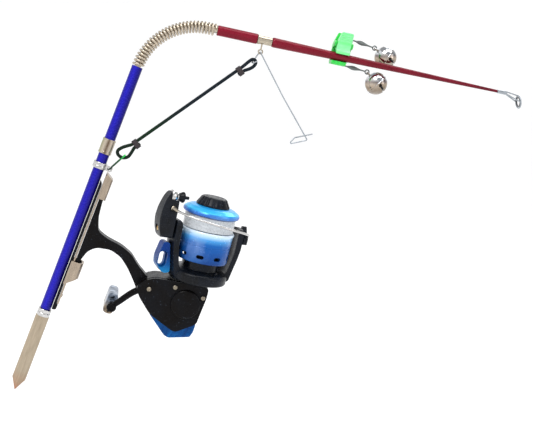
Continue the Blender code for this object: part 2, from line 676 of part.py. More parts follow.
def build_tether():
    lug = turn(ANCHOR_TURN, "Z") @ Vector((LUG_REACH, 0, (ANCHOR_BOTTOM + ANCHOR_TOP) / 2))
    axis = axis_empty("tether_axis", Matrix.Translation(lug * MM))
    top = Vector(LINK_TOP)
    way = (top - lug).normalized()
    side = way.cross(Vector((1, 0, -way.x / way.z))).normalized()
    link = []
    for centre, sign in ((top - way * 2.4, 1), (lug + way * 1.8, -1)):
        for k in range(6):
            a = math.radians(180 * k / 5)
            link.append(tuple(centre + side * (sign * 2.4 * math.cos(a))
                              + way * (sign * 2.4 * math.sin(a))))
    strand("tether_link", "green_plastic", link, 0.55, parent=axis, closed=True)

    low, high = (Vector(p) for p in TETHER_BOUND)
    along = (high - low).normalized()
    across = Vector((-along.z, 0, along.x)).normalized()
    reach = along * 2.6
    tail = -across * TAIL_GAP
    path = [low + tail + reach, low + tail - reach]
    path += [Vector((x, low.y, z)) for x, z in LOWER_EYE]
    path += [low - reach, low + reach, (low + high) / 2, high - reach, high + reach]
    path += [Vector((x, high.y, z)) for x, z in UPPER_EYE]
    path += [high + tail + reach, high + tail - reach]
    strand("tether_cord", "cord", through(path, 2), TETHER_R, parent=axis)
    inner = TETHER_R + GAP
    for place, bound in (("lower", low), ("upper", high)):
        frame = Matrix((across, along.cross(across), along)).transposed().to_4x4()
        frame.translation = (bound + tail / 2) * MM
        plate(f"tether_binding_{place}", "grey_metal", stadium(TAIL_GAP / 2, inner + 0.6), 4.0,
              holes=[stadium(TAIL_GAP / 2, inner)], frame=frame, parent=axis)


# ---------------------------------------------------------------- reel body

HOUSING = [(-46.5, -11.7), (-42.2, -19.1), (-31.8, -30.8), (-9.8, -42.2), (6.1, -32.5),
           (7.0, -26.0), (9.6, -10.5), (9.8, -1.5), (-33.0, -1.5), (-40.0, -4.5)]


def build_reel_body():
    in_reel = REEL @ FLAT_XZ
    housing = plate("reel_body", "black_plastic", rounded(HOUSING, 3.0, 3), 2 * HOUSING_HALF,
                    frame=in_reel, bevel=1.6)
    foot = [(FOOT_BACK, FOOT_BOTTOM), (FOOT_BACK, FOOT_TOP), (FOOT_FACE, FOOT_TOP),
            (FOOT_FACE, 166), (13.2, 153), (16.6, 143.2), (25, 140.2), (37.3, 138.4),
            (47, 134.8), (55.9, 127.6), (64.7, 122.4), (74, 118), (70, 106), (62, 108),
            (56.2, 114.9), (48.3, 123.2), (39.9, 129.9), (30.6, 132.6), (19.7, 130.4),
            (14.5, 125.4), (FOOT_FACE, 116), (FOOT_FACE, FOOT_BOTTOM)]
    stem = plate("reel_stem", None, foot[::-1], 2 * FOOT_HALF_WIDTH, frame=FLAT_XZ, bevel=1.1)
    inset = [(-37.0, -9.5), (-37.5, -18.0), (-29.0, -28.4), (-10.0, -39.0), (4.2, -31.4),
             (5.5, -25.5), (7.5, -10.5), (7.6, -6.2), (-30.0, -6.2)]
    cavity_depth = HOUSING_HALF + 9.0
    cavity = plate("housing_cavity", None, rounded(inset, 2.0, 2), cavity_depth,
                   frame=REEL @ shift(0, 9.0 - cavity_depth / 2, 0) @ FLAT_XZ)
    neck = turned("neck_bore", None, [(6.9, 1), (6.9, -10)], frame=REEL, steps=20)
    shaft = turned("crank_bore", None, [(4.9, 14), (4.9, 6)], frame=CRANK)
    boolean(housing, "UNION", stem)
    boolean(housing, "DIFFERENCE", cavity, neck, shaft)

    face = -HOUSING_HALF - GAP
    cover = plate("side_cover", "black_plastic", rounded(HOUSING, 3.0, 2), 2.4,
                  frame=REEL @ shift(0, face - 1.2, 0) @ FLAT_XZ)
    boss = turned("cover_boss", None,
                  [(12.2, face - 1.0), (12.0, face - 3.4), (10.8, face - 4.8), (0, face - 5.4)],
                  frame=CRANK, steps=24)
    recess = turned("cover_recess", None, [(3.9, face + 1), (3.9, face - 2.6)], frame=CRANK)
    boolean(cover, "UNION", boss)
    boolean(cover, "DIFFERENCE", recess)

    trim = [(-32.0, -31.3), (-9.9, -42.7), (6.1, -33.0), (5.4, -40.0), (3.5, -44.6),
            (-13.1, -48.2), (-17.0, -46.6)]
    plate("body_trim", "blue_plastic", rounded(trim, 1.2, 2), 2 * HOUSING_HALF - 1.0,
          frame=in_reel, bevel=0.6)


def build_reel_fittings():
    face = -HOUSING_HALF - GAP - 2.4
    for number, (x, z) in enumerate(((-36.2, -11.1), (6.6, -10.3), (-16.5, -5.9)), 1):
        turned(f"cover_screw_{number}", "nickel",
               [(1.9, face - GAP), (1.9, face - GAP - 0.6), (1.4, face - GAP - 1.2)],
               frame=REEL @ shift(x, 0, z) @ turn(-90, "X"), steps=10)
    turned("crank_bush", "brass", [(4.6, 12.6), (4.6, 9.0)], [(3.3, 9.0), (3.3, 12.6)],
           frame=CRANK, steps=16)
    turned("pinion_bearing", "nickel", [(6.6, -2.2), (6.6, -6.1)], [(4.2, -6.1), (4.2, -2.2)],
           frame=REEL, steps=20)


# ---------------------------------------------------------------- reel drive

def gear_outline(teeth, root, tip):
    points = []
    for k in range(teeth):
        for share, radius in ((0.0, root), (0.25, tip), (0.5, tip), (0.75, root)):
            a = 2 * math.pi * (k + share) / teeth
            points.append((radius * math.cos(a), radius * math.sin(a)))
    return points


def build_crank():
    axis = axis_empty("crank_axis", CRANK)
    gear = turned("drive_gear", "brass",
                  [(3.0, 21.5), (3.0, 8.2), (6, 8.2), (11.2, 7.2), (11.2, 5.4), (2.2, 5.4),
                   (2.2, -14.2)], frame=CRANK, parent=axis, steps=24)
    teeth = plate("drive_gear_teeth", None, gear_outline(22, 9.8, 11.0), 1.9,
                  holes=[circle(0, 0, 7.0, 14)], frame=CRANK @ shift(0, 0, 4.7))
    boolean(gear, "UNION", teeth)
    centre = CRANK.translation / MM
    end_x, end_z = CRANK_END
    path = through([(centre.x - 2, 25.5, centre.z), (85.8, 33, 109.7), (74.3, 44.5, 102.2),
                    (64.2, 46.5, 93.6), (55.6, 48, 80.9), (end_x, 49, end_z)], 3)
    radii = [1.0 - 0.33 * k / (len(path) - 1) for k in range(len(path))]
    arm = to_mesh(strand("crank_arm", "black_plastic", path, 3.6, parent=axis, radii=radii))
    hub = turned("crank_hub", None,
                 [(4.5, 29.5), (6.4, 28.5), (6.4, 22.4), (5.2, 21.8), (5.2, 14.0)],
                 frame=CRANK)
    hub_bore = turned("hub_bore", None, [(3.3, 22.0), (3.3, 13.0)], frame=CRANK, steps=16)
    pin_frame = shift(end_x, 0, end_z) @ turn(-90, "X")
    boss = turned("arm_boss", None, [(3.9, KNOB_START - GAP), (4.1, 51.6), (4.1, 45.9),
                                     (3.5, 45.2)], frame=pin_frame, steps=16)
    pin = turned("knob_pin", None, [(1.6, KNOB_END - 4), (1.6, KNOB_START - 1)], frame=pin_frame,
                 steps=12)
    boolean(arm, "UNION", hub, boss, pin)
    boolean(arm, "DIFFERENCE", hub_bore)
    knob_axis = axis_empty("knob_axis", pin_frame, axis)
    left, right = KNOB_OFFSET - KNOB_HALF_WIDTH, KNOB_OFFSET + KNOB_HALF_WIDTH
    oval = rounded([(left, -KNOB_HALF_HEIGHT), (right, -KNOB_HALF_HEIGHT),
                    (right, KNOB_HALF_HEIGHT), (left, KNOB_HALF_HEIGHT)], 5.0, 3)
    middle = (KNOB_START + 2.5 + KNOB_END) / 2
    knob = plate("crank_knob", "grey_metal", oval, KNOB_END - KNOB_START - 2.5,
                 frame=pin_frame @ shift(0, 0, middle), parent=knob_axis, bevel=2.4)
    neck = turned("knob_neck", None, [(4.0, KNOB_START + 6), (4.0, KNOB_START)],
                  frame=pin_frame, steps=12)
    bore = turned("knob_bore", None, [(1.9, KNOB_END - 3.4), (1.9, KNOB_START - 1)],
                  frame=pin_frame, steps=12)
    boolean(knob, "UNION", neck)
    boolean(knob, "DIFFERENCE", bore)


def build_rotor():
    axis = axis_empty("rotor_axis", ROTOR)
    rotor = turned("rotor", "black_plastic",
                   [(14.5, 27), (14.5, 10), (21.0, 9), (23.0, 7.8), (23.6, 6), (23.4, 1.5),
                    (22.4, 0.2)],
                   [(4.2, 0.2), (4.2, 27)], frame=ROTOR, parent=axis, steps=28)
    arms = turned("arm_ring", None,
                  [(28.6, 47), (30.2, 44), (30.2, 30), (28.8, 21), (26.6, 11), (25.2, 3.6),
                   (22.0, 2.0)],
                  [(20.0, 4), (20.0, 8.0), (22.6, 11.5), (23.6, 17), (25.4, 27), (25.4, 47)],
                  frame=ROTOR, steps=40)
    outline = rounded([(-9.0, 0), (9.0, 0), (8.0, 16), (7.4, 46.5), (-7.4, 46.5), (-8.0, 16)],
                      4.5, 3)
    slab = plate("arm_slab", None, outline, 80, frame=ROTOR @ turn(90, "Z") @ FLAT_XZ)
    boolean(arms, "INTERSECT", slab)
    boolean(rotor, "UNION", arms)

    fin = rounded([(-25.9, 4.4), (-31.6, 3.4), (-37.6, 9.0), (-38.4, 16), (-35.8, 28.2),
                   (-30.6, 28.2), (-29.2, 21), (-27.0, 11)], 2.0, 3)
    hole = [(x - 34.3, z + 14.6) for z, x in stadium(2.2, 2.2, 4)]
    plate("arm_cover", "blue_plastic", fin, 9.0, holes=[hole], frame=ROTOR @ FLAT_XZ,
          parent=axis, bevel=0.5)

    pinion = turned("pinion_gear", "brass",
                    [(3.9, 26.6), (3.9, -6.9), (2.7, -7.2), (2.7, -14)],
                    [(2.15, -14), (2.15, 26.6)], frame=ROTOR, parent=axis, steps=16)
    teeth = plate("pinion_teeth", None, gear_outline(10, 2.5, 3.4), 6.6,
                  holes=[circle(0, 0, 2.3, 12)], frame=ROTOR @ shift(0, 0, -10.6))
    boolean(pinion, "UNION", teeth)
    turned("rotor_nut", "nickel", [(6.0, 29.4), (6.4, 28.8), (6.4, 27.3)],
           [(2.2, 27.3), (2.2, 29.4)], frame=ROTOR, parent=axis, steps=6)
    return axis


def build_bail(rotor_axis):
    pivot = ROTOR @ shift(0, 0, BAIL_PIVOT_Z)
    axis = axis_empty("bail_axis", pivot, rotor_axis)
    outline = rounded([(-6.4, -6.6), (5.6, -6.6), (7.4, 2), (5.6, 10), (4.2, 20), (4.6, 29),
                       (0.5, 31.6), (-4.0, 29), (-5.4, 20), (-8.0, 8)], 4.0, 3)
    bow = rounded([(-30.6, -7.6), (-39.6, -7.6), (-42.6, 0), (-43.8, 8), (-43.4, 16),
                   (-41.2, 24), (-37.6, 30), (-30.6, 32.6)], 3.0, 3)
    arm = plate("bail_arm", "black_plastic", bow, 16.0, frame=pivot @ FLAT_XZ, parent=axis,
                bevel=2.4)
    face = plate("bail_arm_face", None, outline, 30,
                 frame=pivot @ shift(-36, 0, 0) @ turn(90, "Z") @ FLAT_XZ)
    boolean(arm, "INTERSECT", face)
    screw_seat = turned("bail_screw_seat", None, [(2.8, 4), (2.8, -1.6)],
                        frame=pivot @ shift(-41.6, 0, 0) @ turn(-90, "Y"), steps=12)
    boolean(arm, "DIFFERENCE", screw_seat)
    roller_seat = turned("roller_seat", None, [(5.3, 14), (5.3, -3.2)],
                         frame=pivot @ shift(-34.2, 0, 26) @ turn(90, "Y"), steps=16)
    boolean(arm, "DIFFERENCE", roller_seat)
    axle = turned("roller_axle", None, [(1.3, 12.6), (1.3, -5.0)],
                  frame=pivot @ shift(-34.2, 0, 26) @ turn(90, "Y"), steps=12)
    boolean(arm, "UNION", axle)

    rise = [(-35.0, -6.6, 17.5), (-32.6, -13.5, 16.8), (-26.5, -22.6, 16.0), (-15.5, -30.2, 14.8),
            (0, -33.6, 13.0), (14.5, -30.4, 10.8), (25.0, -21.8, 8.0), (30.6, -12.0, 4.6),
            (32.4, -5.6, 2.0)]
    path = through(rise, 3)
    radii = [1.5 - 0.5 * min(k / 4, 1) for k in range(len(path))]
    wire = to_mesh(strand("bail_wire", "chrome", path, 0.9, frame=pivot, parent=axis,
                          radii=radii))
    foot = plate("bail_foot", None,
                 rounded([(-6.4, -4.0), (3.6, -4.4), (4.8, 1), (3.6, 9.6), (0.6, 10.4),
                          (-2.6, 4.6), (-6.6, 4.4)], 2.0, 2), 3.4,
                 frame=pivot @ shift(32.3, 0, 0) @ turn(90, "Z") @ FLAT_XZ)
    foot_hole = turned("foot_hole", None, [(1.7, 4), (1.7, -4)],
                       frame=pivot @ shift(32.3, 0, 0) @ turn(90, "Y"), steps=12)
    boolean(wire, "UNION", foot)
    boolean(wire, "DIFFERENCE", foot_hole)
    turned("bail_screw_near", "brass", [(2.4, 1.5), (2.5, 0.9), (2.5, 0.0)],
           frame=pivot @ shift(-40.3, 0, 0) @ turn(-90, "Y"), parent=axis, steps=12)
    turned("bail_screw_far", "brass",
           [(2.4, 3.6), (2.6, 3.2), (2.6, 2.3), (1.4, 2.2), (1.4, -1.4)],
           frame=pivot @ shift(32.3, 0, 0) @ turn(90, "Y"), parent=axis, steps=12)

    roller_at = pivot @ shift(-34.2, 0, 26) @ turn(90, "Y")
    roller_axis = axis_empty("roller_axis", roller_at, axis)
    turned("line_roller", "chrome",
           [(3.8, 8.6), (4.4, 8.0), (4.2, 7.0), (3.0, 4.6), (3.0, 2.6), (4.6, 0.4), (4.9, -1.6),
            (4.7, -2.8)],
           [(1.6, -2.8), (1.6, 8.6)], frame=roller_at, parent=roller_axis, steps=16)


def build_spool():
    slide = axis_empty("main_shaft_axis", REEL)
    turned("main_shaft", "nickel", [(1.2, 66.6), (1.85, 66), (1.85, -20.4)],
           frame=REEL, parent=slide, steps=14)
    turned("oscillation_slider", "brass", [(2.7, -20.7), (2.7, -22.9)], frame=REEL,
           parent=slide, steps=4)
    spin = axis_empty("spool_axis", REEL, slide)
    spool = turned("spool", "blue_plastic",
                   [(14.2, 61.0), (18.0, 60.2), (21.8, 58.0), (22.7, 56.4), (22.5, 54.8),
                    (21.6, 54.2), (13.0, 54.0), (13.0, 42.4), (21.4, 42.2), (21.9, 41.4),
                    (21.6, 40.2), (21.0, 39.0), (20.8, 18.4), (20.4, 17.4)],
                   [(19.2, 17.4), (19.2, 37.5), (8.6, 38.4), (2.15, 38.4), (2.15, 56.0),
                    (11.0, 56.0), (11.0, 61.0)],
                   frame=REEL, parent=spin, steps=24)
    holes = []
    for k in range(9):
        holes.append(turned(f"skirt_hole_{k}", None, [(1.6, 24), (1.6, 17)],
                            frame=REEL @ turn(40 * k + 20, "Z") @ shift(0, 0, 22) @ turn(90, "Y"),
                            steps=6))
    boolean(spool, "DIFFERENCE", *holes)
    turned("line_winding", "line", [(19.8, 53.6), (20.4, 52.6), (20.4, 43.6), (19.8, 42.8)],
           [(13.3, 42.8), (13.3, 53.6)], frame=REEL, parent=spin, steps=24)
    turned("drag_washer", "grey_metal", [(10.4, 59.2), (10.4, 56.4)], [(2.6, 56.4), (2.6, 59.2)],
           frame=REEL, parent=spin, steps=16)
    knob_axis = axis_empty("drag_knob_axis", REEL, slide)
    turned("drag_knob", "black_plastic",
           [(0.0, 68.2), (9.2, 68.2), (10.4, 67.4), (13.4, 62.2), (13.4, 61.3), (10.4, 61.3),
            (10.4, 60.0), (2.2, 60.0), (2.2, 66.9), (0.0, 66.9)],
           frame=REEL, parent=knob_axis, steps=20)


def build_reel():
    build_reel_body()
    build_reel_fittings()
    build_crank()
    build_bail(build_rotor())
    build_spool()


build_spike()
build_tubes()
build_anchor()
build_seat()
build_sliding_hood()
build_spring()
build_rod()
build_tip_guide()
build_trigger()
build_clip()
build_bells()
build_tether()
build_reel()
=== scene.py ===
"""Looks of the spring-loaded ice fishing tip-up rod: fine surfaces, materials, light and camera.

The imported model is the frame. Each visible part gets a fine piece in its place, built in
millimetres in the part's own frame: origin at the spike's tip, +Z up along the handle, +X the way
the set rod points. Parts hidden inside keep their shape and take a better material.
"""
import json
import math

import bmesh
import bpy
import numpy as np
from mathutils import Matrix, Vector

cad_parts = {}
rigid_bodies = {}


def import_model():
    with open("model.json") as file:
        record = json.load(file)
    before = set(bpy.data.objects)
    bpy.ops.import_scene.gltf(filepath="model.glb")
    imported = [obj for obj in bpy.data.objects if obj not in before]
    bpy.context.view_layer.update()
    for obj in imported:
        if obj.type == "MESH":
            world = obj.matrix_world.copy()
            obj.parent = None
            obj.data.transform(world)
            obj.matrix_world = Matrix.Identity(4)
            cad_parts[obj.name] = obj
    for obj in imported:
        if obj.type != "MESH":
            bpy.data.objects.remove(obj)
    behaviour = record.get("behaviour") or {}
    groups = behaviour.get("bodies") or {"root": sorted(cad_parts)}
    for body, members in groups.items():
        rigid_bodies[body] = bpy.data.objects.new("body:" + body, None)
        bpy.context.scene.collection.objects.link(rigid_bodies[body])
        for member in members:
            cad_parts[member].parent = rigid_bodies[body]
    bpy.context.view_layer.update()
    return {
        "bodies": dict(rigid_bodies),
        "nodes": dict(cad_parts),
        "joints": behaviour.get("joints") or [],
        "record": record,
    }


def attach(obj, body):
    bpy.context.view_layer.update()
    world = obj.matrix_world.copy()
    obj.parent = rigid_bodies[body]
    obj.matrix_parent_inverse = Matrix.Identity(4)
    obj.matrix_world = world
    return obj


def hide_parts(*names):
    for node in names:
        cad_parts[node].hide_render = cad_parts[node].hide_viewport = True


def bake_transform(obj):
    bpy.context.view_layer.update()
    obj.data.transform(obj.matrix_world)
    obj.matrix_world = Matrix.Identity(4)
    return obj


for old in list(bpy.data.objects):
    bpy.data.objects.remove(old, do_unlink=True)

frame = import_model()
BODY_OF = {node: body for body, nodes in frame["record"]["behaviour"]["bodies"].items()
    for node in nodes}

MM = 0.001
GAP = 0.3                      # clearance between pieces that touch

# Handle, from the spike's tip upwards
SPIKE_TOP = 63.7
SPIKE_HALF_WIDTH = 5.3
SPIKE_DEPTH = 4.4
SPIKE_WALL = 1.8
SPIKE_POINT = 9.0
COLLAR_BOTTOM = 64.0
COLLAR_TOP = 70.0
TUBE_R = 4.2
TUBE_BORE = 3.4
TUBE_JOINT = 207.0
FERRULE_BOTTOM = 201.0
FERRULE_TOP = 213.0
ANCHOR_BOTTOM = 189.0
ANCHOR_TOP = 194.0
ANCHOR_TURN = -25.0
LUG_REACH = 8.4
HANDLE_TOP = 272.0

# Reel seat
BACKING_FACE = 6.6
PLATE_BACK = 6.9
PLATE_FACE = 8.2
PLATE_HALF_WIDTH = 5.5
PLATE_BOTTOM = 78.0
PLATE_TOP = 186.0
FOOT_BACK = 8.6
FOOT_FACE = 11.6
FOOT_HALF_WIDTH = 4.5
FOOT_BOTTOM = 99.0
FOOT_TOP = 183.0

# Coil spring: an arc in three sections, then a short straight end
BEND_TOTAL = 79.5
SECTIONS = 3
BEND_R = 47.6
COIL_R = 3.9
COIL_WIRE_R = 0.9
COIL_PITCH = 2.6
COIL_TAIL = 6.9
COIL_POINTS = 28               # points in each turn

# Rod, by distance from the end of the spring's arc
BUTT_START = 7.3
BUTT_END = 38.5
BUTT_R = 3.9
BUTT_BORE = 3.2
ROD_FERRULE_END = 50.1
ROD_FERRULE_R = 3.2
ROD_END = 238.6
ROD_ROOT_R = 3.8
ROD_TIP_R = 1.1
TRIGGER_AT = (43.0, -9.3)
GUIDE_CENTRE = (258.8, -4.8)
GUIDE_RING_R = 4.9
GUIDE_WIRE_R = 0.55
GUIDE_LEAN = 16.0

# Bell clip and bells
CLIP_START = 98.6
CLIP_END = 113.6
CLIP_PIN = (0.6, 9.5)
BELL_R = 8.9
BELL_WALL = 0.7
BELL_HANG = 11.8
BELLS = (
    {"centre": (144.9, 12.9, 7.7), "hinge_way": (-0.891, 0.455), "root": (113.6, 7.0, 15.0)},
    {"centre": (139.7, 4.5, -14.0), "hinge_way": (-0.789, 0.615), "root": (110.8, 7.0, -5.6)},
)

# Reel
REEL_AT = (102.6, 0.0, 132.5)
REEL_LEAN = 9.0
ROTOR_PHASE = 18.0
HOUSING_HALF = 12.0
COVER_WALL = 2.4
CRANK_AT = (-5.8, -18.0)
CRANK_END = (51.5, 74.6)
KNOB_START = 52.5
KNOB_END = 85.5
KNOB_NECK = 2.5                # the knob's narrower start
KNOB_HALF_WIDTH = 4.6
KNOB_HALF_HEIGHT = 9.4
KNOB_OFFSET = -1.0             # the oval's middle, from the pin along x
BAIL_PIVOT_Z = 38.0
BAIL_FOOT_X = 32.3
HOUSING = [(-46.5, -11.7), (-42.2, -19.1), (-31.8, -30.8), (-9.8, -42.2), (6.1, -32.5),
    (7.0, -26.0), (9.6, -10.5), (9.8, -1.5), (-33.0, -1.5), (-40.0, -4.5)]

# Tether
TETHER_R = 1.3
TETHER_BOUND = ((18.5, -2.6, 217.75), (72.3, 0.0, 299.1))
TAIL_GAP = 3.1
LOWER_EYE = ((18.8, 209.8), (17.4, 205.4), (13.8, 203.3), (9.9, 204.3), (8.7, 207.2),
    (11.0, 210.6), (14.4, 213.4))
UPPER_EYE = ((75.7, 304.7), (77.2, 307.4), (79.0, 309.9), (81.2, 310.4), (82.7, 308.5),
    (82.0, 305.4), (79.6, 302.4))
LINK_TOP = (15.0, -2.6, 205.9)
LINK_R = 2.4                   # the link's round ends
HOOK = (80.0, 307.7)

# Camera: angles from straight in front, in degrees, and the rest in millimetres
CAMERA_AZIMUTH = -12.0
CAMERA_ELEVATION = 7.0
CAMERA_ROLL = 22.267
CAMERA_DISTANCE = 700.0
CAMERA_TARGET = (137.30, 0.0, 197.77)
CAMERA_LENS = 59.1

# Studio: a pale floor that curves up into a wall
FLOOR_Z = -0.4
FLOOR_R = 1500.0
SWEEP_R = 900.0
WALL_TOP = 1900.0


# ---------------------------------------------------------------- frames

def shift(x=0.0, y=0.0, z=0.0):
    return Matrix.Translation((x * MM, y * MM, z * MM))


def turn(degrees, axis):
    return Matrix.Rotation(math.radians(degrees), 4, axis)


SECTION_BEND = BEND_TOTAL / SECTIONS
SECTION_LENGTH = BEND_R * math.radians(SECTION_BEND)


def arc_point(length):
    """x, z and lean in degrees of the spring's centre line, length along it."""
    lean = min(length / BEND_R, math.radians(BEND_TOTAL))
    x = BEND_R * (1 - math.cos(lean))
    z = HANDLE_TOP + BEND_R * math.sin(lean)
    extra = length - BEND_R * lean
    return x + extra * math.sin(lean), z + extra * math.cos(lean), math.degrees(lean)


ROD_X, ROD_Z, ROD_LEAN = arc_point(SECTIONS * SECTION_LENGTH)
ROD = shift(ROD_X, 0, ROD_Z) @ turn(ROD_LEAN - 90, "Y")      # local x along the rod
ROD_AXIS = ROD @ turn(90, "Y")                               # local z along the rod
REEL = shift(*REEL_AT) @ turn(-REEL_LEAN, "Y")
ROTOR = REEL @ turn(ROTOR_PHASE, "Z")
FLAT_XZ = turn(90, "X")        # takes an outline's x and y to x and z, and its thickness to y
CRANK = REEL @ shift(CRANK_AT[0], 0, CRANK_AT[1]) @ turn(-90, "X")
BAIL = ROTOR @ shift(0, 0, BAIL_PIVOT_Z)
ROD_FLAT = ROD @ FLAT_XZ
REEL_FLAT = REEL @ FLAT_XZ
ROTOR_FLAT = ROTOR @ FLAT_XZ


def on_rod(along, across=0.0, above=0.0):
    return ROD @ shift(along, across, above)


def side_on(frame):
    """Takes an outline's x and y to the frame's y and z, and its thickness to x."""
    return frame @ turn(90, "Z") @ FLAT_XZ


# ---------------------------------------------------------------- materials

LOOKS = {}
REEL_WAY = tuple(REEL.to_3x3() @ Vector((0, 0, 1)))
ROD_WAY = tuple(ROD.to_3x3() @ Vector((1, 0, 0)))
ROD_UP = tuple(ROD.to_3x3() @ Vector((0, 0, 1)))
TETHER_WAY = tuple((Vector(TETHER_BOUND[1]) - Vector(TETHER_BOUND[0])).normalized())


class Look:
    """A procedural material under construction. Patterns lie in the object's own coordinates."""

    def __init__(self, name, slot, metallic=0.0, coat=0.0, **sockets):
        self.material = bpy.data.materials.new(name)
        self.material.use_nodes = True
        self.tree = self.material.node_tree
        self.shader = self.tree.nodes["Principled BSDF"]
        self.set("Metallic", metallic)
        self.set("Coat Weight", coat)
        self.set("Coat Roughness", 0.06)
        for socket, value in sockets.items():
            self.set(socket.replace("_", " "), value)
        self.place = self.node("ShaderNodeTexCoord").outputs["Object"]
        LOOKS[name] = self.material

    def set(self, socket, value):
        self.shader.inputs[socket].default_value = value

    def node(self, kind, **settings):
        made = self.tree.nodes.new(kind)
        for key, value in settings.items():
            setattr(made, key, value)
        return made

    def link(self, source, target):
        self.tree.links.new(source, target)

    def noise(self, scale, detail=3.0, stretch=(1.0, 1.0, 1.0)):
        mapping = self.node("ShaderNodeMapping")
        mapping.inputs["Scale"].default_value = stretch
        self.link(self.place, mapping.inputs["Vector"])
        made = self.node("ShaderNodeTexNoise")
        made.inputs["Scale"].default_value = scale
        made.inputs["Detail"].default_value = detail
        self.link(mapping.outputs["Vector"], made.inputs["Vector"])
        return made.outputs["Fac"]

    def flecks(self, scale, size):
        """1 at scattered small specks and 0 between them."""
        cells = self.node("ShaderNodeTexVoronoi")
        cells.inputs["Scale"].default_value = scale
        self.link(self.place, cells.inputs["Vector"])
        return self.ranged(cells.outputs["Distance"], size, size * 0.6, 0.0, 1.0)

    def dot(self, source, way):
        made = self.node("ShaderNodeVectorMath", operation="DOT_PRODUCT")
        made.inputs[1].default_value = way
        self.link(source, made.inputs[0])
        return made.outputs["Value"]

    def along(self, way, low, high):
        """0 to 1 from low to high millimetres in a direction."""
        return self.ranged(self.dot(self.place, way), low * MM, high * MM, 0.0, 1.0)

    def ranged(self, source, low, high, to_low, to_high):
        made = self.node("ShaderNodeMapRange")
        limits = {"From Min": low, "From Max": high, "To Min": to_low, "To Max": to_high}
        for socket, value in limits.items():
            made.inputs[socket].default_value = value
        self.link(source, made.inputs["Value"])
        return made.outputs["Result"]

    def stripes(self, way, pitch):
        """A fine ridge every pitch millimetres in a direction."""
        turns = self.dot(self.place, [2 * math.pi / (pitch * MM) * c for c in way])
        wave = self.node("ShaderNodeMath", operation="SINE")
        self.link(turns, wave.inputs[0])
        return wave.outputs["Value"]

    def ramp(self, factor, *stops):
        made = self.node("ShaderNodeValToRGB")
        elements = made.color_ramp.elements
        while len(elements) < len(stops):
            elements.new(0.5)
        for element, (place, colour) in zip(elements, stops):
            element.position = place
            element.color = (*colour, 1.0)
        self.link(factor, made.inputs["Fac"])
        return made.outputs["Color"]

    def mixed(self, factor, first, second):
        made = self.node("ShaderNodeMix", data_type="RGBA")
        self.link(factor, made.inputs["Factor"])
        for socket, value in ((made.inputs[6], first), (made.inputs[7], second)):
            if isinstance(value, tuple):
                socket.default_value = (*value, 1.0)
            else:
                self.link(value, socket)
        return made.outputs[2]

    def edge_wear_and_highlight(self, colour, bright):
        """Edges painted a brighter colour: partly rubbed wear, partly a painted highlight along the
        edges.
        """
        soft = self.node("ShaderNodeBevel", samples=4)
        soft.inputs["Radius"].default_value = 0.25 * MM
        dot = self.node("ShaderNodeVectorMath", operation="DOT_PRODUCT")
        self.link(soft.outputs["Normal"], dot.inputs[0])
        self.link(self.node("ShaderNodeNewGeometry").outputs["Normal"], dot.inputs[1])
        return self.mixed(self.ranged(dot.outputs["Value"], 0.985, 0.8, 0.0, 0.6), colour, bright)

    def colour(self, source):
        self.link(source, self.shader.inputs["Base Color"])
        return self

    def rough(self, low, high, *noise):
        """Roughness that wanders between two values with noise."""
        self.link(self.ranged(self.noise(*noise), 0.3, 0.7, low, high),
            self.shader.inputs["Roughness"])
        return self

    def bump(self, source, depth, strength=0.5):
        made = self.node("ShaderNodeBump")
        made.inputs["Strength"].default_value = strength
        made.inputs["Distance"].default_value = depth * MM
        self.link(source, made.inputs["Height"])
        self.link(made.outputs["Normal"], self.shader.inputs["Normal"])
        return self

    def grain(self, depth, strength, *noise):
        """A fine relief from noise, depth in millimetres."""
        return self.bump(self.noise(*noise), depth, strength)

    def clouded(self, base, colour, low, high, most, *noise):
        """A second colour in soft patches over the first."""
        return self.mixed(self.ranged(self.noise(*noise), low, high, 0, most), base, colour)

    def flecked(self, base, colour, scale, size):
        """A second colour in small specks over the first."""
        return self.mixed(self.flecks(scale, size), base, colour)


def shade(colour, factor):
    return tuple(min(c * factor, 1.0) for c in colour)


def mottled(look, colour, spread, scale, stretch=(1, 1, 1)):
    """A colour that wanders a little either way."""
    return look.ramp(look.noise(scale, 4, stretch), (0.3, shade(colour, 1 - spread)),
        (0.7, shade(colour, 1 + spread)))


def lacquer_looks():
    blue = Look("blue_lacquer", "blue_tube", 0.2, 0.05, Specular_IOR_Level=0.2)
    # Across the tube, left to right: a painted highlight left of the middle, fading to painted
    # shade on the right.
    base = blue.ramp(blue.along((1, 0, 0), -4.4, 4.4), (0.0, (0.008, 0.004, 0.26)),
        (0.35, (0.014, 0.010, 0.46)), (0.7, (0.006, 0.003, 0.22)), (1.0, (0.004, 0.001, 0.10)))
    base = blue.clouded(base, (0.005, 0.002, 0.20), 0.35, 0.7, 0.35, 160, 4, (1, 1, 0.2))
    blue.colour(blue.flecked(base, (0.03, 0.02, 0.42), 900, 0.12))
    blue.rough(0.2, 0.34, 700, 3).grain(0.02, 0.3, 1500, 2)

    red = Look("red_lacquer", "red_rod", 0.1, 0.05, Specular_IOR_Level=0.18)
    length = red.along(ROD_WAY, 100, 350)
    base = red.ramp(length, (0.0, (0.19, 0.003, 0.016)), (0.45, (0.14, 0.003, 0.011)),
        (1.0, (0.08, 0.003, 0.009)))
    red.colour(red.clouded(base, (0.27, 0.008, 0.03), 0.35, 0.7, 0.45, 300, 5, (0.15, 1, 1)))
    red.rough(0.24, 0.4, 600, 3).grain(0.03, 0.35, 900, 3, (0.2, 1, 1))


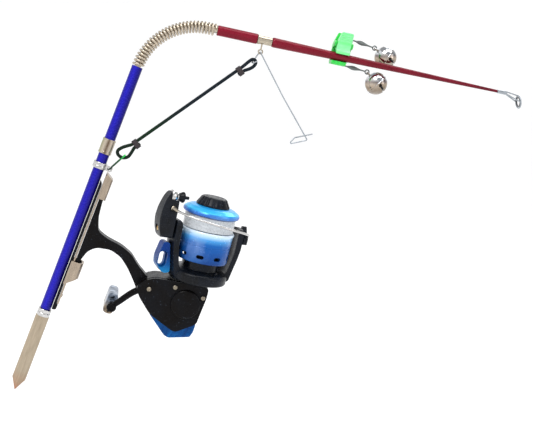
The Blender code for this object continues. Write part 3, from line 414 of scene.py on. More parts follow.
def metal_looks():
    spike = Look("tan_spike", "tan_steel", 0.85)
    height = spike.along((0, 0, 1), 0, 16)
    base = spike.ramp(height, (0.0, (0.46, 0.19, 0.11)), (0.4, (0.46, 0.31, 0.21)),
        (1.0, (0.47, 0.39, 0.29)))
    spike.colour(spike.clouded(base, (0.29, 0.235, 0.17), 0.3, 0.7, 0.55, 500, 6, (1, 1, 0.12)))
    spike.rough(0.3, 0.55, 900, 4, (1, 1, 0.1))
    spike.grain(0.04, 0.5, 1200, 4, (1, 1, 0.1))

    for name, slot, colour, low, high in (
            ("satin_nickel", "nickel", (0.38, 0.31, 0.24), 0.2, 0.36),
            ("champagne_nickel", "nickel", (0.47, 0.41, 0.32), 0.2, 0.36),
            ("bright_steel", "nickel", (0.56, 0.55, 0.54), 0.12, 0.26),
            ("galvanised", "chrome", (0.36, 0.39, 0.42), 0.22, 0.42),
            ("spring_wire", "spring_steel", (0.50, 0.43, 0.34), 0.2, 0.34),
            ("machined_brass", "brass", (0.70, 0.50, 0.22), 0.22, 0.38),
            ("screw_zinc", "nickel", (0.30, 0.26, 0.20), 0.24, 0.4),
            ("stem_steel", "grey_metal", (0.15, 0.165, 0.16), 0.28, 0.45),
            ("dull_steel", "grey_metal", (0.40, 0.42, 0.45), 0.3, 0.5)):
        metal = Look(name, slot, 1.0)
        base = mottled(metal, colour, 0.1, 350, (1, 1, 0.3))
        # Brighter edges: rubbed wear and a painted edge highlight.
        metal.colour(metal.edge_wear_and_highlight(base, shade(colour, 1.35)))
        metal.rough(low, high, 1400, 5, (1, 1, 0.15))
        metal.grain(0.012, 0.35, 2600, 3, (1, 1, 0.1))

    ferrule = Look("ferrule_nickel", "nickel", 1.0)
    # Across the ferrule, left to right: painted reflections, bright and dark bands as polished
    # metal mirrors its surroundings.
    base = ferrule.ramp(ferrule.along((1, 0, 0), -5.1, 5.1), (0.0, (0.30, 0.31, 0.16)),
        (0.25, (0.58, 0.50, 0.40)), (0.5, (0.12, 0.075, 0.045)), (0.68, (0.50, 0.42, 0.34)),
        (1.0, (0.44, 0.38, 0.30)))
    ferrule.colour(ferrule.clouded(base, (0.50, 0.45, 0.37), 0.4, 0.8, 0.3, 350, 4))
    ferrule.rough(0.2, 0.36, 1400, 5, (1, 1, 0.15))
    ferrule.grain(0.012, 0.35, 2600, 3, (1, 1, 0.1))

    chrome = Look("bell_chrome", "chrome", 1.0)
    # Painted reflection: colour set by the way each face points, bright facing up and left, a dark
    # band a little above sideways, darker and warm facing sideways and down.
    facing = chrome.dot(chrome.node("ShaderNodeNewGeometry").outputs["Normal"], (-0.4, -0.1, 0.9))
    base = chrome.ramp(chrome.ranged(facing, -1, 1, 0, 1), (0.0, (0.30, 0.27, 0.24)),
        (0.35, (0.26, 0.20, 0.14)), (0.5, (0.42, 0.34, 0.26)), (0.62, (0.20, 0.17, 0.17)),
        (0.72, (0.68, 0.70, 0.72)), (1.0, (0.74, 0.77, 0.80)))
    base = chrome.clouded(base, (0.52, 0.46, 0.40), 0.45, 0.62, 0.45, 150, 2)
    chrome.colour(chrome.flecked(base, (0.25, 0.24, 0.24), 700, 0.14))
    chrome.rough(0.04, 0.13, 500, 4).grain(0.05, 0.12, 180, 2)


def plastic_looks():
    for name, level, colour, tint in (
            ("reel_black", 0.09, (0.0035, 0.0025, 0.0022), (0.0045, 0.005, 0.007)),
            ("rotor_black", 0.18, (0.003, 0.0035, 0.005), (0.005, 0.008, 0.015)),
            ("seat_black", 0.12, (0.004, 0.004, 0.005), (0.008, 0.008, 0.009))):
        black = Look(name, "black_plastic", Specular_IOR_Level=level)
        base = black.clouded(colour, tint, 0.35, 0.7, 1, 70, 3)
        base = black.flecked(base, (0.10, 0.13, 0.18), 420, 0.09)
        # Bluish edges: a painted highlight along the edges, with rubbed wear.
        black.colour(black.edge_wear_and_highlight(base, (0.022, 0.032, 0.05)))
        black.rough(0.2, 0.36, 260, 4).grain(0.02, 0.35, 1500, 3)

    trim = Look("trim_blue", "blue_metal", 0.5, 0.03, Specular_IOR_Level=0.2)
    base = trim.ramp(trim.noise(140, 5, (1, 1, 0.6)), (0.32, (0.001, 0.028, 0.13)),
        (0.55, (0.002, 0.075, 0.27)), (0.72, (0.012, 0.20, 0.50)))
    # Bright cyan edges: a painted highlight along the edges, with rubbed wear.
    trim.colour(trim.edge_wear_and_highlight(base, (0.06, 0.36, 0.7)))
    trim.rough(0.16, 0.36, 500, 4).grain(0.03, 0.4, 900, 4)

    fin = Look("fin_blue", "blue_metal", 0.45, 0.03, Specular_IOR_Level=0.2)
    # Along the reel's axis: a painted highlight, bright cyan at the fin's low end, fading upwards
    # to painted shade.
    length = fin.along(REEL_WAY, 117, 145)
    base = fin.ramp(length, (0.0, (0.010, 0.24, 0.52)), (0.3, (0.003, 0.08, 0.30)),
        (0.55, (0.002, 0.03, 0.18)), (1.0, (0.002, 0.04, 0.24)))
    # Bright edges: a painted highlight along the edges, with rubbed wear.
    fin.colour(fin.edge_wear_and_highlight(base, (0.05, 0.34, 0.66)))
    fin.rough(0.15, 0.32, 500, 4).grain(0.02, 0.35, 1100, 4)

    start = Vector(REEL_AT).dot(Vector(REEL_WAY))
    spool = Look("spool_blue", "blue_plastic", 0.3, 0.05, Specular_IOR_Level=0.3)
    # Up the spool's axis: painted shade low on the skirt, a painted highlight near white round the
    # lip, and a painted highlight on the flange's slope.
    height = spool.along(REEL_WAY, start + 17, start + 62)
    base = spool.ramp(height, (0.0, (0.001, 0.04, 0.20)), (0.2, (0.002, 0.075, 0.33)),
        (0.36, (0.002, 0.11, 0.43)), (0.44, (0.06, 0.32, 0.72)), (0.5, (0.45, 0.70, 0.95)),
        (0.555, (0.75, 0.86, 0.96)), (0.6, (0.80, 0.88, 0.95)), (0.83, (0.004, 0.07, 0.42)),
        (0.885, (0.006, 0.14, 0.62)), (0.92, (0.02, 0.50, 0.90)), (1.0, (0.01, 0.26, 0.72)))
    # Soft patches of painted highlight, lightest at the lip, laid over the spool.
    highlight_streak = spool.ramp(height, (0.0, (0.01, 0.2, 0.62)), (0.6, (0.8, 0.9, 1.0)),
        (1.0, (0.10, 0.62, 0.92)))
    spool.colour(spool.clouded(base, highlight_streak, 0.45, 0.75, 0.35, 60, 3))
    spool.rough(0.14, 0.3, 400, 4).bump(spool.stripes(REEL_WAY, 0.5), 0.012, 0.3)

    green = Look("clip_green", "green_plastic", 0.0, 0.25, Subsurface_Weight=0.35,
        Subsurface_Radius=(0.003, 0.004, 0.003))
    base = mottled(green, (0.27, 0.92, 0.38), 0.1, 240)
    stripe = green.ranged(green.stripes(ROD_UP, 7.5), 0.2, 1.0, 0, 0.55)
    green.colour(green.mixed(stripe, base, (0.10, 0.85, 0.17)))
    green.rough(0.28, 0.46, 300, 3).grain(0.05, 0.3, 500, 3)

    deep = Look("jaw_green", "green_plastic", 0.0, 0.25, Subsurface_Weight=0.2,
        Subsurface_Radius=(0.002, 0.003, 0.002))
    deep.colour(mottled(deep, (0.02, 0.58, 0.06), 0.16, 240))
    deep.rough(0.26, 0.42, 300, 3).grain(0.05, 0.3, 500, 3)

    link = Look("link_green", "green_plastic", 0.0, 0.1, Specular_IOR_Level=0.25)
    height = link.along((0, 0, 1), 190, 209)
    base = link.ramp(height, (0.0, (0.012, 0.02, 0.014)), (0.55, (0.008, 0.07, 0.02)),
        (0.85, (0.03, 0.62, 0.10)), (1.0, (0.05, 0.85, 0.16)))
    link.colour(base).rough(0.3, 0.5, 500, 3).grain(0.03, 0.4, 900, 3)

    grip = Look("knob_grey", "grey_grip", 0.1, 0.4)
    height = grip.along((0, 0, 1), 68, 91)
    base = grip.ramp(grip.noise(190, 6), (0.3, (0.05, 0.065, 0.09)), (0.5, (0.16, 0.2, 0.27)),
        (0.72, (0.5, 0.58, 0.68)))
    brown = grip.ramp(grip.noise(230, 5), (0.35, (0.09, 0.055, 0.03)), (0.7, (0.30, 0.22, 0.13)))
    grip.colour(grip.mixed(grip.ranged(height, 0.12, 0.42, 0, 1), brown, base))
    grip.rough(0.26, 0.5, 300, 4).grain(0.06, 0.45, 700, 4)


def soft_looks():
    cord = Look("braided_cord", "cord", 0.0, 0.0, Specular_IOR_Level=0.12)
    height = cord.along((0, 0, 1), 205, 262)
    base = cord.ramp(height, (0.0, (0.004, 0.012, 0.005)), (0.45, (0.003, 0.022, 0.004)),
        (0.8, (0.003, 0.008, 0.010)), (1.0, (0.004, 0.008, 0.014)))
    thread = cord.stripes(TETHER_WAY, 0.9)
    cord.colour(cord.mixed(cord.ranged(thread, -1, 1, 0, 0.3), base, (0.016, 0.028, 0.032)))
    cord.rough(0.45, 0.7, 900, 3).bump(thread, 0.06, 0.6)

    bind = Look("binding_thread", "grey_metal", 0.0, 0.0, Specular_IOR_Level=0.2)
    thread = bind.stripes(TETHER_WAY, 0.5)
    bind.colour(bind.mixed(bind.ranged(thread, -1, 1, 0, 1), (0.008, 0.006, 0.007),
        (0.075, 0.06, 0.065)))
    bind.rough(0.4, 0.65, 900, 3).bump(thread, 0.09, 0.7)

    line = Look("fishing_line", "line", 0.0, 0.5, Transmission_Weight=0.1)
    line.colour(mottled(line, (0.72, 0.75, 0.78), 0.08, 160, (1, 1, 3)))
    line.rough(0.2, 0.4, 800, 3).bump(line.stripes(REEL_WAY, 0.25), 0.02, 0.4)

    insert = Look("guide_ceramic", "black_plastic", 0.0, 0.4)
    insert.colour(mottled(insert, (0.012, 0.014, 0.018), 0.4, 700))
    insert.rough(0.12, 0.28, 900, 3).grain(0.01, 0.3, 1500, 2)

    floor = Look("floor_paper", "line", Roughness=0.9)
    floor.colour(mottled(floor, (0.50, 0.50, 0.50), 0.012, 8))
    floor.set("Emission Color", (1.0, 1.0, 1.0, 1.0))
    floor.set("Emission Strength", 0.56)
    floor.grain(0.05, 0.1, 400, 3)


# ---------------------------------------------------------------- shape helpers

SCRAP = []
WELD = 0.002 * MM


def linked(name, data):
    obj = bpy.data.objects.new(name, data)
    bpy.context.scene.collection.objects.link(obj)
    return obj


def add(data, frame=Matrix()):
    """A piece being shaped, which goes once a finished piece is made from it."""
    obj = linked("rough", data)
    obj.matrix_basis = frame
    SCRAP.append(obj)
    return obj


def evaluated(obj):
    """A new mesh of the object with its modifiers applied."""
    bpy.context.view_layer.update()
    graph = bpy.context.evaluated_depsgraph_get()
    return bpy.data.meshes.new_from_object(obj.evaluated_get(graph))


def spun(obj, steps, merge):
    """Turn the object's profile about local Z."""
    screw = obj.modifiers.new("Turn", "SCREW")
    screw.angle = 2 * math.pi
    screw.steps = steps
    screw.render_steps = steps
    screw.use_merge_vertices = True
    screw.merge_threshold = merge
    return screw


def rounded(corners, radius, steps=6, closed=True):
    """An outline or a path with its corners rounded. It works in two and three dimensions."""
    points = []
    count = len(corners)
    for i in range(count):
        here = Vector(corners[i])
        if not closed and i in (0, count - 1):
            points.append(tuple(here))
            continue
        before = Vector(corners[i - 1]) - here
        after = Vector(corners[(i + 1) % count]) - here
        reach = min(radius, before.length * 0.45, after.length * 0.45)
        first = here + before.normalized() * reach
        last = here + after.normalized() * reach
        for k in range(steps + 1):
            t = k / steps
            points.append(tuple(first * (1 - t) ** 2 + here * 2 * t * (1 - t) + last * t * t))
    return points


def rectangle(left, low, right, high):
    return [(left, low), (right, low), (right, high), (left, high)]


def circle(x, y, radius):
    steps = 40
    angles = [2 * math.pi * k / steps for k in range(steps)]
    return [(x + radius * math.cos(a), y + radius * math.sin(a)) for a in angles]


def stadium(half_length, radius):
    steps = 14
    points = []
    for side, start in ((1, -90), (-1, 90)):
        for k in range(steps + 1):
            a = math.radians(start + 180 * k / steps)
            points.append((side * half_length + radius * math.cos(a), radius * math.sin(a)))
    return points


def through(points, per_span):
    """Points on a smooth curve through the given ones."""
    points = [Vector(p) for p in points]
    path = []
    for i in range(len(points) - 1):
        a = points[max(i - 1, 0)]
        b = points[i]
        c = points[i + 1]
        d = points[min(i + 2, len(points) - 1)]
        for k in range(per_span):
            t = k / per_span
            path.append(0.5 * (2 * b + (c - a) * t + (2 * a - 5 * b + 4 * c - d) * t * t
                + (3 * b - a - 3 * c + d) * t ** 3))
    path.append(points[-1])
    return [tuple(p) for p in path]


def turned(outer, inner=(), frame=Matrix(), steps=72, soft=0.2):
    """A turned piece about local Z. outer runs top to bottom, and inner bottom to top."""
    profile = list(outer) + list(inner)
    if not inner:
        if outer[0][0] > 0:
            profile.insert(0, (0.0, outer[0][1]))
        if outer[-1][0] > 0:
            profile.append((0.0, outer[-1][1]))
    if soft:
        profile = rounded(profile, soft, 3, closed=bool(inner))
    edges = [(i, i + 1) for i in range(len(profile) - 1)]
    if inner:
        edges.append((len(profile) - 1, 0))
    mesh = bpy.data.meshes.new("rough")
    mesh.from_pydata([(r * MM, 0.0, z * MM) for r, z in profile], edges, [])
    obj = add(mesh, frame)
    spun(obj, steps, WELD)
    return obj


def drum(radius, high, low, frame):
    """A plain cylinder about local Z: a pin, or a cutter for a bore."""
    return turned([(radius, high), (radius, low)], frame=frame)


def to_mesh(obj):
    """Replace a curve object by its evaluated, welded mesh."""
    mesh = evaluated(obj)
    weld = bmesh.new()
    weld.from_mesh(mesh)
    bmesh.ops.remove_doubles(weld, verts=weld.verts, dist=WELD)
    bmesh.ops.recalc_face_normals(weld, faces=weld.faces)
    weld.to_mesh(mesh)
    weld.free()
    return add(mesh, obj.matrix_world.copy())


def bevel(obj, width, segments=4, angle=40.0):
    rounding = obj.modifiers.new("Edges", "BEVEL")
    rounding.width = width * MM
    rounding.segments = segments
    rounding.limit_method = "ANGLE"
    rounding.angle_limit = math.radians(angle)
    return obj


def drawn(rings, closed):
    """A curve with one line of straight steps through each list of points."""
    curve = bpy.data.curves.new("rough", "CURVE")
    for ring in rings:
        spline = curve.splines.new("POLY")
        spline.points.add(len(ring) - 1)
        for point, place in zip(spline.points, ring):
            point.co = (*(c * MM for c in place), 1.0)
        spline.use_cyclic_u = closed
    return curve


def plate(outline, thickness, holes=(), frame=Matrix(), edge=0.0, segments=4, full=False):
    """A flat outline in local XY, thickness centred on it along local Z. full keeps the whole
    width of the edges round a corner made of short steps."""
    curve = drawn([[(x, y, 0.0) for x, y in ring] for ring in (outline, *holes)], True)
    curve.dimensions = "2D"
    curve.fill_mode = "BOTH"
    curve.extrude = thickness / 2 * MM
    solid = to_mesh(add(curve, frame))
    if edge:
        bevel(solid, edge, segments).modifiers["Edges"].use_clamp_overlap = not full
    return solid


def strand(points, radius, frame=Matrix(), closed=False, radii=None, around=6):
    """A round wire through the points."""
    curve = drawn([points], closed)
    curve.dimensions = "3D"
    curve.bevel_depth = radius * MM
    curve.bevel_resolution = around
    curve.use_fill_caps = True
    if radii:
        curve.splines[0].points.foreach_set("radius", radii)
    return to_mesh(add(curve, frame))


def ring_wire(radius, wire, frame=Matrix(), around=48):
    """A ring of round wire in local XY."""
    steps = [2 * math.pi * i / around for i in range(around)]
    points = [(radius * math.cos(a), radius * math.sin(a), 0.0) for a in steps]
    return strand(points, wire, frame, closed=True)


def block(low, high, frame=Matrix(), edge=0.0):
    """A box between two corners."""
    mesh = bpy.data.meshes.new("rough")
    box = bmesh.new()
    bmesh.ops.create_cube(box, size=1.0)
    bmesh.ops.scale(box, vec=[(h - l) * MM for l, h in zip(low, high)], verts=box.verts)
    bmesh.ops.translate(box, vec=[(h + l) / 2 * MM for l, h in zip(low, high)], verts=box.verts)
    box.to_mesh(mesh)
    box.free()
    obj = add(mesh, frame)
    return bevel(obj, edge) if edge else obj


def boolean(target, operation, tools):
    for tool in tools:
        step = target.modifiers.new("Boolean", "BOOLEAN")
        step.operation = operation
        step.object = tool
        step.solver = "EXACT"
    return target


def join(target, *tools):
    return boolean(target, "UNION", tools)


def cut(target, *tools):
    return boolean(target, "DIFFERENCE", tools)


def keep_inside(target, *tools):
    return boolean(target, "INTERSECT", tools)


def baked(obj, name):
    """The piece as one mesh with its modifiers applied and its place in its vertices."""
    mesh = evaluated(obj)
    mesh.transform(obj.matrix_world)
    mesh.name = name
    mesh.materials.clear()
    while SCRAP:
        bpy.data.objects.remove(SCRAP.pop(), do_unlink=True)
    return linked(name, mesh)


def settle(obj, node, look, crease=38.0, joined=None):
    """Finish a piece, let it stand for its CAD node, and let it ride on that node's body. A joined
    piece stays fixed where it is built.
    """
    piece = baked(obj, f"fine_{node}")
    mesh = piece.data
    mesh.validate()
    mesh.materials.append(LOOKS[look])
    mesh.shade_smooth()
    mesh.set_sharp_from_angle(angle=math.radians(crease))
    even = piece.modifiers.new("Even shading", "WEIGHTED_NORMAL")
    even.keep_sharp = True
    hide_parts(node)
    if joined:
        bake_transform(piece)
    else:
        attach(piece, BODY_OF[node])
    return piece


def repaint(piece, look, place, within):
    """Give the faces inside part of a piece, found in a frame in millimetres, another look."""
    piece.data.materials.append(LOOKS[look])
    inverse = place.inverted()
    for polygon in piece.data.polygons:
        if within(inverse @ polygon.center / MM):
            polygon.material_index = len(piece.data.materials) - 1


def keep(node, look):
    """A CAD part whose shape is right takes a better material."""
    slots = frame["nodes"][node].material_slots
    for entry in slots:
        entry.material = LOOKS[look]
    if not slots:
        frame["nodes"][node].data.materials.append(LOOKS[look])


# ---------------------------------------------------------------- handle

def build_spike():
    half, depth, wall = SPIKE_HALF_WIDTH, SPIKE_DEPTH, SPIKE_WALL
    ridge = -0.65 * depth
    wing = ridge + depth
    section = [(-half, wing), (0, ridge), (half, wing), (half, wing + wall), (0, ridge + wall),
        (-half, wing + wall)]
    spike = plate(rounded(section, 0.8, 5), SPIKE_TOP, frame=shift(0, 0, SPIKE_TOP / 2))
    side = [(0, 0), (half + 1, SPIKE_POINT * 1.1), (half + 1, SPIKE_TOP + 1),
        (-half - 1, SPIKE_TOP + 1), (-half - 1, SPIKE_POINT * 1.1)]
    keep_inside(spike, plate(side, 4 * depth, frame=FLAT_XZ))
    settle(spike, "ground_spike", "tan_spike")
    stub = TUBE_BORE - GAP
    middle = (COLLAR_BOTTOM + COLLAR_TOP) / 2
    collar = turned([(stub - 0.5, 84), (stub, 83.5), (stub, COLLAR_TOP), (4.8, COLLAR_TOP),
        (5.2, COLLAR_TOP - 0.5), (5.2, middle + 0.5), (4.7, middle), (5.2, middle - 0.5),
        (5.2, COLLAR_BOTTOM + 0.5), (4.8, COLLAR_BOTTOM)])
    settle(collar, "spike_collar", "bright_steel")


def build_tubes():
    for node, low, high in (("lower_tube", COLLAR_TOP + GAP, TUBE_JOINT - GAP / 2),
            ("upper_tube", TUBE_JOINT + GAP / 2, HANDLE_TOP)):
        settle(turned([(TUBE_R, high), (TUBE_R, low)], [(TUBE_BORE, low), (TUBE_BORE, high)],
            soft=0.3), node, "blue_lacquer")
    bore = TUBE_R + GAP
    bottom, top = FERRULE_BOTTOM, FERRULE_TOP
    outer = [(bore + 0.2, top), (5.1, top - 0.3), (5.1, top - 1.8), (4.85, top - 2.1),
        (5.0, top - 2.5), (5.0, bottom + 2.5), (4.85, bottom + 2.1), (5.1, bottom + 1.8),
        (5.1, bottom + 0.3), (bore + 0.2, bottom)]
    settle(turned(outer, [(bore, bottom), (bore, top)], soft=0.15), "tube_ferrule",
        "ferrule_nickel")
    keep("spring_plug_lower", "spring_wire")


def build_anchor():
    middle = (ANCHOR_BOTTOM + ANCHOR_TOP) / 2
    ring = turned([(5.2, ANCHOR_TOP), (5.5, ANCHOR_TOP - 0.5), (5.5, middle + 0.5), (5.2, middle),
        (5.5, middle - 0.5), (5.5, ANCHOR_BOTTOM + 0.5), (5.2, ANCHOR_BOTTOM)],
        [(TUBE_R + GAP, ANCHOR_BOTTOM), (TUBE_R + GAP, ANCHOR_TOP)])
    outline = rounded(rectangle(5.2, middle - 2.2, 10.8, middle + 2.2), 2.0, 8)
    lug = plate(outline, 1.4, holes=[circle(LUG_REACH, middle, 1.35)],
        frame=turn(ANCHOR_TURN, "Z") @ FLAT_XZ, edge=0.25)
    settle(join(ring, lug), "anchor_ring", "bright_steel")


def build_seat():
    backing = rounded([(TUBE_R + GAP, 72), (7.7, 72.6), (7.9, 76.6), (BACKING_FACE, 78),
        (BACKING_FACE, 178), (TUBE_R + GAP, 181)], 1.0, 5)
    settle(plate(backing, 7.0, frame=FLAT_XZ, edge=0.8), "seat_backing", "seat_black")

    seat = block((PLATE_BACK, -PLATE_HALF_WIDTH, PLATE_BOTTOM),
        (PLATE_FACE, PLATE_HALF_WIDTH, PLATE_TOP), edge=0.35)
    low, high = 167.5, 188.0
    outer = rounded(rectangle(PLATE_BACK, -6.4, 13.4, 6.4), 2.8, 8)
    hood = plate(outer, high - low, frame=shift(0, 0, (low + high) / 2), edge=0.3)
    slant = plate([(5, 189.5), (16, 182.5), (16, 200), (5, 200)], 20, frame=FLAT_XZ)
    pocket = block((PLATE_FACE, -FOOT_HALF_WIDTH - GAP, low - 1),
        (FOOT_FACE + GAP, FOOT_HALF_WIDTH + GAP, 184.5))
    rivet = turned([(0.8, 0.75), (1.5, 0.35), (1.7, 0.0), (1.7, -0.5)],
        frame=shift(PLATE_FACE, 0, 84) @ turn(90, "Y"))
    join(seat, hood, rivet)
    cut(seat, pocket, slant)
    settle(seat, "seat_plate", "satin_nickel")


def build_sliding_hood():
    low, high = 95.4, 114.7
    side = PLATE_HALF_WIDTH + GAP
    lip = 3.9
    back = PLATE_BACK - 1.3
    section = [(back, -7.0), (13.0, -7.0), (15.2, -4.6), (15.2, 4.6), (13.0, 7.0), (back, 7.0),
        (back, lip), (PLATE_BACK - GAP, lip), (PLATE_BACK - GAP, side), (12.0, side), (13.6, 4.0),
        (13.6, -4.0), (12.0, -side), (PLATE_BACK - GAP, -side), (PLATE_BACK - GAP, -lip),
        (back, -lip)]
    hood = plate(rounded(section, 0.9, 5), high - low, frame=shift(0, 0, (low + high) / 2),
        edge=0.25)
    slant = plate([(5, 94), (17, 104), (17, 90), (5, 90)], 20, frame=FLAT_XZ)
    settle(cut(hood, slant), "sliding_hood", "satin_nickel")


# ---------------------------------------------------------------- spring and rod

def build_spring():
    bodies = ("handle", "coil_a", "coil_b", "rod")
    total = SECTIONS * SECTION_LENGTH + COIL_TAIL
    for section in range(SECTIONS):
        low = section * SECTION_LENGTH
        high = low + SECTION_LENGTH
        ends = []
        for length in (low, high):
            x, z = arc_point(length)[:2]
            ends.append((x * MM, 0.0, z * MM))
        if section == 0:
            low = GAP + COIL_WIRE_R
        if section == SECTIONS - 1:
            high = total - COIL_WIRE_R
        steps = int((high - low) / COIL_PITCH * COIL_POINTS)
        points = []
        for k in range(steps + 1):
            length = low + (high - low) * k / steps
            x, z, lean = arc_point(length)
            spin = 2 * math.pi * length / COIL_PITCH
            out = COIL_R * math.cos(spin)
            way = math.radians(lean)
            points.append((x + out * math.cos(way), COIL_R * math.sin(spin),
                z - out * math.sin(way)))
        coil = strand(points, COIL_WIRE_R, around=4)
        settle(coil, f"spring_{section + 1}", "spring_wire",
            joined=(bodies[section], bodies[section + 1], *ends))


def build_rod():
    stub = BUTT_BORE - GAP
    keep("spring_plug_upper", "spring_wire")
    settle(turned([(BUTT_R, BUTT_END), (BUTT_R, BUTT_START)],
        [(BUTT_BORE, BUTT_START), (BUTT_BORE, BUTT_END)], ROD_AXIS, soft=0.4),
        "butt_tube", "red_lacquer")
    ferrule = turned([(ROD_FERRULE_R, ROD_FERRULE_END), (ROD_FERRULE_R, 42.5),
        (3.7, BUTT_END + 1.0), (3.7, BUTT_END + GAP), (stub, BUTT_END + GAP), (stub, 30)],
        frame=ROD_AXIS, soft=0.25)
    bore = drum(2.5, ROD_FERRULE_END + 1, 43, ROD_AXIS)
    along, above = TRIGGER_AT
    eye = ring_wire(1.6, 0.55, frame=on_rod(along, 0, above + 0.4) @ FLAT_XZ)
    stem = strand([(along, 0, -3.0), (along, 0, above + 2.0)], 0.6, frame=ROD)
    cut(ferrule, bore)
    join(ferrule, stem, eye)
    settle(ferrule, "rod_ferrule", "champagne_nickel")
    settle(turned([(0.6, 244.5), (0.6, ROD_END), (ROD_TIP_R, ROD_END), (ROD_ROOT_R, 52),
        (ROD_ROOT_R - 0.3, ROD_FERRULE_END + GAP), (2.2, ROD_FERRULE_END + GAP), (2.2, 44)],
        frame=ROD_AXIS, soft=0.3), "rod_blank", "red_lacquer")


def build_tip_guide():
    along, above = GUIDE_CENTRE
    sleeve = turned([(1.2, 247), (1.45, 246.6), (1.45, ROD_END + GAP)],
        [(0.9, ROD_END + GAP), (0.9, 245.2), (0.02, 245.2), (0.02, 247)], ROD_AXIS, steps=32,
        soft=0.0)
    plane = on_rod(along, 0, above) @ turn(90 - GUIDE_LEAN, "Y")
    ring = ring_wire(GUIDE_RING_R, GUIDE_WIRE_R, frame=plane)
    lean = math.radians(GUIDE_LEAN)
    top = (along - GUIDE_RING_R * math.sin(lean), 0, above + GUIDE_RING_R * math.cos(lean))
    legs = [strand(rounded([(244, 0, 1.1), (246.5, 0, 1.1), top], 1.5, 6, False), 0.5, frame=ROD)]
    for side in (-1, 1):
        end = (along, side * GUIDE_RING_R, above)
        points = [(243.5, side * 1.1, -0.6), (246.5, side * 1.2, -0.6), end]
        legs.append(strand(rounded(points, 1.5, 6, False), 0.5, frame=ROD))
    settle(join(sleeve, ring, *legs), "guide_frame", "galvanised")
    outer = GUIDE_RING_R - GUIDE_WIRE_R - GAP
    settle(turned([(outer - 0.3, 0.7), (outer, 0.4), (outer, -0.4), (outer - 0.3, -0.7)],
        [(3.2, -0.5), (3.0, 0), (3.2, 0.5)], plane, soft=0.15), "guide_insert", "guide_ceramic")


def build_trigger():
    along, above = TRIGGER_AT
    pivot = on_rod(along, 0, above).translation / MM
    px, pz = pivot.x, pivot.z
    hook_x, hook_z = HOOK
    points = [(hook_x + 2.6, -2.9, hook_z + 2.2), (hook_x + 0.6, -2.4, hook_z + 0.1),
        (hook_x, -1.6, hook_z), (hook_x, 1.6, hook_z), (hook_x + 0.3, 2.4, hook_z + 0.7),
        (px - 0.6, 2.4, pz - 1.2), (px, 1.7, pz), (px, -1.7, pz), (px + 0.8, -2.4, pz - 1.0),
        (111.9, -2.4, 292.6), (142.5, -2.4, 268.9), (142.2, -2.2, 267.9), (132.2, -1.6, 261.3),
        (131.2, -1.2, 261.8), (133.2, -0.6, 266.6), (134.4, -0.4, 267.3), (145.6, 0.2, 274.4)]
    settle(strand(rounded(points, 0.9, 6, False), 0.5), "trigger_wire", "galvanised")


# ---------------------------------------------------------------- clip and bells

def build_clip():
    middle = (CLIP_START + CLIP_END) / 2
    width = CLIP_END - CLIP_START
    front_width = width - 4.2
    pin_y, pin_z = CLIP_PIN
    across = on_rod(middle) @ turn(90, "Y") @ turn(90, "Z")
    back = plate(rounded([(6.0, 17.6), (4.2, 18.6), (3.7, 12), (3.7, -3.5), (-3.4, -3.5),
        (-4.0, -5.6), (-2.6, -6.6), (4.6, -6.6), (6.0, -5.0)], 1.0, 6), width, frame=across)
    ears = []
    for end in (-1, 1):
        outline = rounded([(4.5, 6.6), (4.5, 12.4), (-1.6, 11.6), (-1.6, 7.4)], 1.8, 8)
        place = on_rod(middle + end * (width / 2 - 0.8)) @ turn(90, "Y") @ turn(90, "Z")
        ears.append(plate(outline, 1.6, holes=[circle(pin_y, pin_z, 0.9)], frame=place))
    slants = plate(rounded([(CLIP_START - 2, -9), (109.4, -9), (110.6, -3.4), (CLIP_END + 1, -2.6),
        (CLIP_END + 1, 21), (102.4, 21), (CLIP_START - 1, 7)], 1.6, 6), 40, frame=ROD_FLAT)
    join(back, *ears)
    keep_inside(back, slants)
    settle(bevel(back, 0.25, 2), "clip_back_jaw", "jaw_green")

    front = plate(rounded([(2.6, 8.4), (2.6, 10.8), (-1.4, 13.4), (-5.2, 19.4), (-7.0, 18.2),
        (-3.6, 11.8), (-2.4, 7.0), (-4.6, 3.8), (-4.4, 2.2), (-3.2, 2.2), (-0.8, 4.2), (1.6, 5.2)],
        1.2, 6), front_width, holes=[circle(pin_y, pin_z, 0.95)], frame=across, edge=0.4)
    reach = front_width / 2 - 1.2
    ribs = []
    for share in (0.12, 0.34, 0.56, 0.78):       # down the front of the finger tab
        y = -3.6 - 3.4 * share
        z = 11.8 + 6.4 * share
        ribs.append(strand([(middle - reach, y, z), (middle + reach, y, z)], 0.45, frame=ROD))
    join(front, *ribs)
    dome = rounded([(CLIP_START + 1.6, 1), (CLIP_END - 1.4, 1), (CLIP_END - 2.0, 13.5),
        (middle + 4.6, 20.0), (middle - 3.8, 20.0), (CLIP_START + 2.0, 13.5)], 3.4, 10)
    keep_inside(front, plate(dome, 40, frame=ROD_FLAT))
    settle(front, "clip_front_jaw", "clip_green")

    pin = turned([(0.4, width / 2 + 0.5), (0.6, width / 2 + 0.2), (0.6, -width / 2 - 0.2),
        (0.4, -width / 2 - 0.5)], frame=on_rod(middle, pin_y, pin_z) @ turn(90, "Y"), steps=32,
        soft=0.0)
    settle(pin, "clip_pin", "bright_steel")
    turns, each, coil_r = 3, 28, 1.4
    start_y, end_y, height = 3.3, -0.7, 15.6
    coil = []
    for k in range(turns * each + 1):
        spin = 2 * math.pi * k / each
        coil.append((coil_r * math.cos(spin), start_y + (end_y - start_y) * k / (turns * each),
            height + coil_r * math.sin(spin)))
    settle(strand(coil, 0.3, frame=on_rod(middle)), "clip_spring", "spring_wire",
        joined=("rod", "clip_jaw", on_rod(middle, start_y, height).translation,
        on_rod(middle, end_y, height).translation))


def leaf(obj, path, widths, thickness):
    """Flatten a strand across, where it widens into a leaf."""
    centres = np.array(path) * MM
    for vertex in obj.data.vertices:
        nearest = int(((centres - np.array(vertex.co)) ** 2).sum(1).argmin())
        squeeze = min(1.0, thickness / widths[nearest])
        middle = centres[nearest][1]
        vertex.co.y = middle + (vertex.co.y - middle) * squeeze
    return obj


